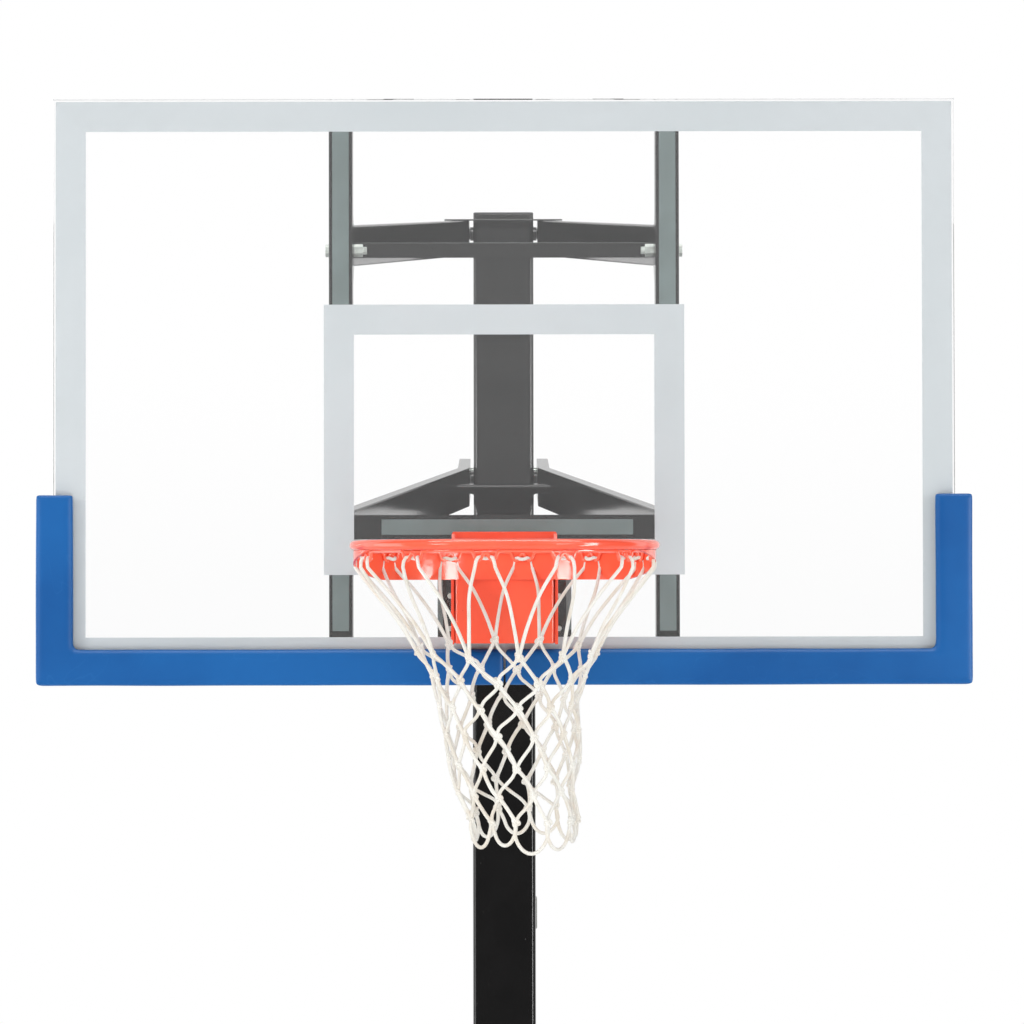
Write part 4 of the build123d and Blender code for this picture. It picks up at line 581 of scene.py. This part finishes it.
netLook = {
    "cordMm": 5.5, "knotCordMm": 5.2, "seed": 7, "columns": 12, "sides": 10, "knotJitterMm": 3.5,
    # one row of knots each: height of the front and of the back, half width, lean to the right and twist
    "rows": (
        (2.352, 2.370, 0.145, 0.003, 0.0),
        (2.314, 2.329, 0.122, 0.005, -1.0),
        (2.271, 2.286, 0.109, 0.008, -2.0),
        (2.227, 2.242, 0.106, 0.010, -4.3),
        (2.182, 2.198, 0.103, 0.011, -4.2),
        (2.137, 2.152, 0.095, 0.013, -5.0),
        (2.093, 2.108, 0.088, 0.027, -13.0),
    ),
    # left half of the saddle of cord on a hook: sideways, out from the wire and up
    "saddleMm": ((-15.5, 4.6, -25.0), (-13.8, 5.0, -16.5), (-11.2, 2.8, -10.4), (-7.8, -2.0, -9.6),
                 (-4.0, -5.0, -11.4), (0, -5.6, -12.0)),
    # points on the way from a knot up to a saddle: share of the way, in towards the axis and sideways
    "legs": ((0.35, 0.006, 0.005), (0.7, 0.003, 0.0065)),
    "bow": 0.002, "bowSide": 0.004, "bowLean": (0.35, 0.65), "slackLag": (0.13, 0.22), "slackWander": 0.002,
    "loopMm": 42.0, "loopSag": (0.8, 1.12), "loopWide": (0.86, 1.12), "loopSideMm": 6.0,
    "saddleStep": 0.006, "strandStep": 0.0055, "loopStep": 0.005,
    # thickness at a strand's ends and in its middle, as a share of the cord
    "saddleThick": (1.15, 1.0), "bowedThick": (1.4, 1.08), "slackThick": (1.05, 1.0), "loopThick": 1.06,
}
random.seed(netLook["seed"])
columns = netLook["columns"]


def jitter(size):
    return Vector((random.uniform(-size, size), random.uniform(-size, size), random.uniform(-size, size)))


def netPoint(row, angle):
    front, back, radius, lean, twist = netLook["rows"][row]
    turn = angle + twist
    share = (1 - cos(radians(turn))) / 2
    return aroundRing(turn, radius, front + (back - front) * share) + Vector((lean, 0, 0))


def taper(line, thickness):
    ends, middle = thickness
    count = len(line) - 1
    return [(p, middle + (ends - middle) * abs(2 * i / count - 1) ** 3) for i, p in enumerate(line)]


def bowed(start, end):
    # a strand between two knots, bowed outwards from the net's axis and a little to one side
    outward = fromAxis((start + end) / 2)
    side = (end - start).cross(outward).normalized()
    shift = outward * netLook["bow"] + side * random.uniform(-netLook["bowSide"], netLook["bowSide"])
    lean = random.uniform(*netLook["bowLean"])
    return [start, start.lerp(end, lean * 0.55) + shift * 0.8, start.lerp(end, 0.5 + lean * 0.4) + shift * 0.9, end]


def slack(start, end):
    # a looser strand that leaves both knots almost upright and crosses over between them
    across = Vector((end.x - start.x, end.y - start.y, 0))
    down = Vector((0, 0, end.z - start.z))
    lag = random.uniform(*netLook["slackLag"])
    wander = jitter(netLook["slackWander"])
    return [start, start + down * 0.27 + across * lag + wander, start + down * 0.5 + across * 0.48 + wander,
            start + down * 0.75 + across * (1 - lag) + wander, end]


def saddleLeg(knot, top, sideways):
    points = [knot]
    for share, inward, spread in netLook["legs"]:
        point = knot.lerp(top, share)
        points.append(point - fromAxis(point) * inward + sideways * spread)
    return points


knots = []
for row in range(len(netLook["rows"])):
    offset = 180 / columns if row % 2 == 0 else 0
    knots.append([netPoint(row, hookAngles[n] + offset) + jitter(netLook["knotJitterMm"] / 1000)
                  for n in range(columns)])

lines = []
for n, angle in enumerate(hookAngles):
    # threaded through both loops of the hook: inside the wire in the middle, outside it beyond the loops
    saddle = [aroundRing(angle, wireRadius + r / 1000, wireZ + z / 1000, x / 1000)
              for x, r, z in mirrored(netLook["saddleMm"])]
    along = ringAxes(angle)[1]
    left = saddleLeg(knots[0][n - 1], saddle[0], -along)
    right = saddleLeg(knots[0][n], saddle[-1], along)
    lines.append(taper(catmull(left + saddle + right[::-1], netLook["saddleStep"]), netLook["saddleThick"]))

for row in range(len(knots) - 1):
    # rows with an offset join the same column and the next, the others the one before and the same
    ahead = 1 if row % 2 == 0 else 0
    for n in range(columns):
        start = knots[row][n]
        right = knots[row + 1][(n + ahead) % columns]
        left = knots[row + 1][n + ahead - 1]
        lines.append(taper(catmull(bowed(start, right), netLook["strandStep"]), netLook["bowedThick"]))
        lines.append(taper(catmull(slack(start, left), netLook["strandStep"]), netLook["slackThick"]))

for n in range(columns):
    # the open loops along the bottom
    start, end = knots[-1][n], knots[-1][(n + 1) % columns]
    sag = netLook["loopMm"] / 1000 * random.uniform(*netLook["loopSag"])
    middle = (start + end) / 2 + Vector((0, 0, -sag)) + jitter(netLook["loopSideMm"] / 1000)
    wide = (end - start) * 0.5 * random.uniform(*netLook["loopWide"])
    low = [middle - wide * cos(radians(a)) + Vector((0, 0, sag * (1 - sin(radians(a)))))
           for a in (22, 45, 68, 90, 112, 135, 158)]
    lines.append([(p, netLook["loopThick"]) for p in catmull([start, *low, end], netLook["loopStep"])])

# flattened against the net and drawn out along the thick strand
knotLine = []
for k in range(knotLook["points"]):
    t = 2 * pi * k / knotLook["points"]
    point = Vector(((sin(t) + 2 * sin(2 * t)) * knotLook["wide"], (cos(t) - 2 * cos(2 * t)) * knotLook["long"],
                    -sin(3 * t) * knotLook["deep"]))
    knotLine.append((point * (knotLook["sizeMm"] / 1000), 1.0))
knotObject = curveObject("knotLine", [knotLine], True)
turns = []
for (_, _, _, lean, _), ring in zip(netLook["rows"], knots):
    for knot in ring:
        outward = fromAxis(knot, lean)
        along = Vector((0, 0, -1)) - outward.cross(Vector((0, 0, 1))) * knotLook["slant"]
        along = (along - outward * along.dot(outward)).normalized()
        side = along.cross(outward).normalized()
        turns.append(Vector(Matrix((side, along, side.cross(along))).transposed().to_euler()))
placeMesh = bpy.data.meshes.new("knotPlaces")
placeMesh.from_pydata([knot for ring in knots for knot in ring], [], [])
turnValues = placeMesh.attributes.new("turn", "FLOAT_VECTOR", "POINT").data
turnValues.foreach_set("vector", [c for turn in turns for c in turn])
placeObject = meshObject("knotPlaces", placeMesh)

cordLook = {"colour": "#efeee7", "shade": "#e5ddcf", "paintedHollowShade": "#cbc2b3", "pitchMm": 4.2, "starts": 4.0,
            "ageScale": 26.0, "fuzzScale": 900.0, "fuzz": 0.5, "reliefMm": 0.4, "relief": 0.5,
            "rough": 0.85, "sheen": 0.3, "sheenRough": 0.5, "specular": 0.2}
materials["cord"], tree, place = newMaterial("braidedCottonCord")
# off-white braided cord: crossing strands about 1.5 mm wide, drawn 2 mm, with painted shade in the hollows
cordPlace = addNode(tree, "ShaderNodeAttribute", {"attribute_name": "cordPlace"}).outputs["Vector"]
axes = addNode(tree, "ShaderNodeSeparateXYZ", {}, {0: cordPlace}).outputs
wound = calculate(tree, "MULTIPLY", calculate(tree, "ARCTAN2", axes[1], axes[0]), cordLook["starts"])
run = calculate(tree, "MULTIPLY", axes[2], 2 * pi / (cordLook["pitchMm"] / 1000))
oneWay = calculate(tree, "SINE", calculate(tree, "ADD", wound, run))
otherWay = calculate(tree, "SINE", calculate(tree, "SUBTRACT", wound, run))
braid = calculate(tree, "MULTIPLY", oneWay, otherWay)
age = ramp(tree, noiseAt(tree, place, cordLook["ageScale"], 4.0), 0.42, 0.68)
tone = blendColour(tree, age, hexLinear(cordLook["colour"]), hexLinear(cordLook["shade"]))
# painted shade: the braid's low places are made darker
tone = blendColour(tree, ramp(tree, braid, -0.1, -0.9), tone, hexLinear(cordLook["paintedHollowShade"]))
fuzz = noiseAt(tree, place, cordLook["fuzzScale"], 2.0)
raised = calculate(tree, "MULTIPLY_ADD", fuzz, cordLook["fuzz"], braid)
endPrincipled(tree, {"Base Color": tone, "Roughness": cordLook["rough"], "Sheen Weight": cordLook["sheen"],
                     "Sheen Roughness": cordLook["sheenRough"], "Specular IOR Level": cordLook["specular"],
                     "Normal": bumped(tree, raised, cordLook["relief"], cordLook["reliefMm"] / 1000)})

tree, ids = sweepTree("sweepNet", True)
net = grow("knottedNet", curveObject("netLines", lines), tree, ids,
           {"Radius": netLook["cordMm"] / 2000, "Sides": netLook["sides"], "Finish": materials["cord"],
            "Knot places": placeObject, "Knot line": knotObject, "Knot radius": netLook["knotCordMm"] / 2000,
            "Seed": netLook["seed"]})
bpy.data.objects.remove(placeObject)
bpy.data.objects.remove(knotObject)
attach(net, "rim")
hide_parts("net")
print("net ready", len(net.data.polygons))

bpy.context.view_layer.update()
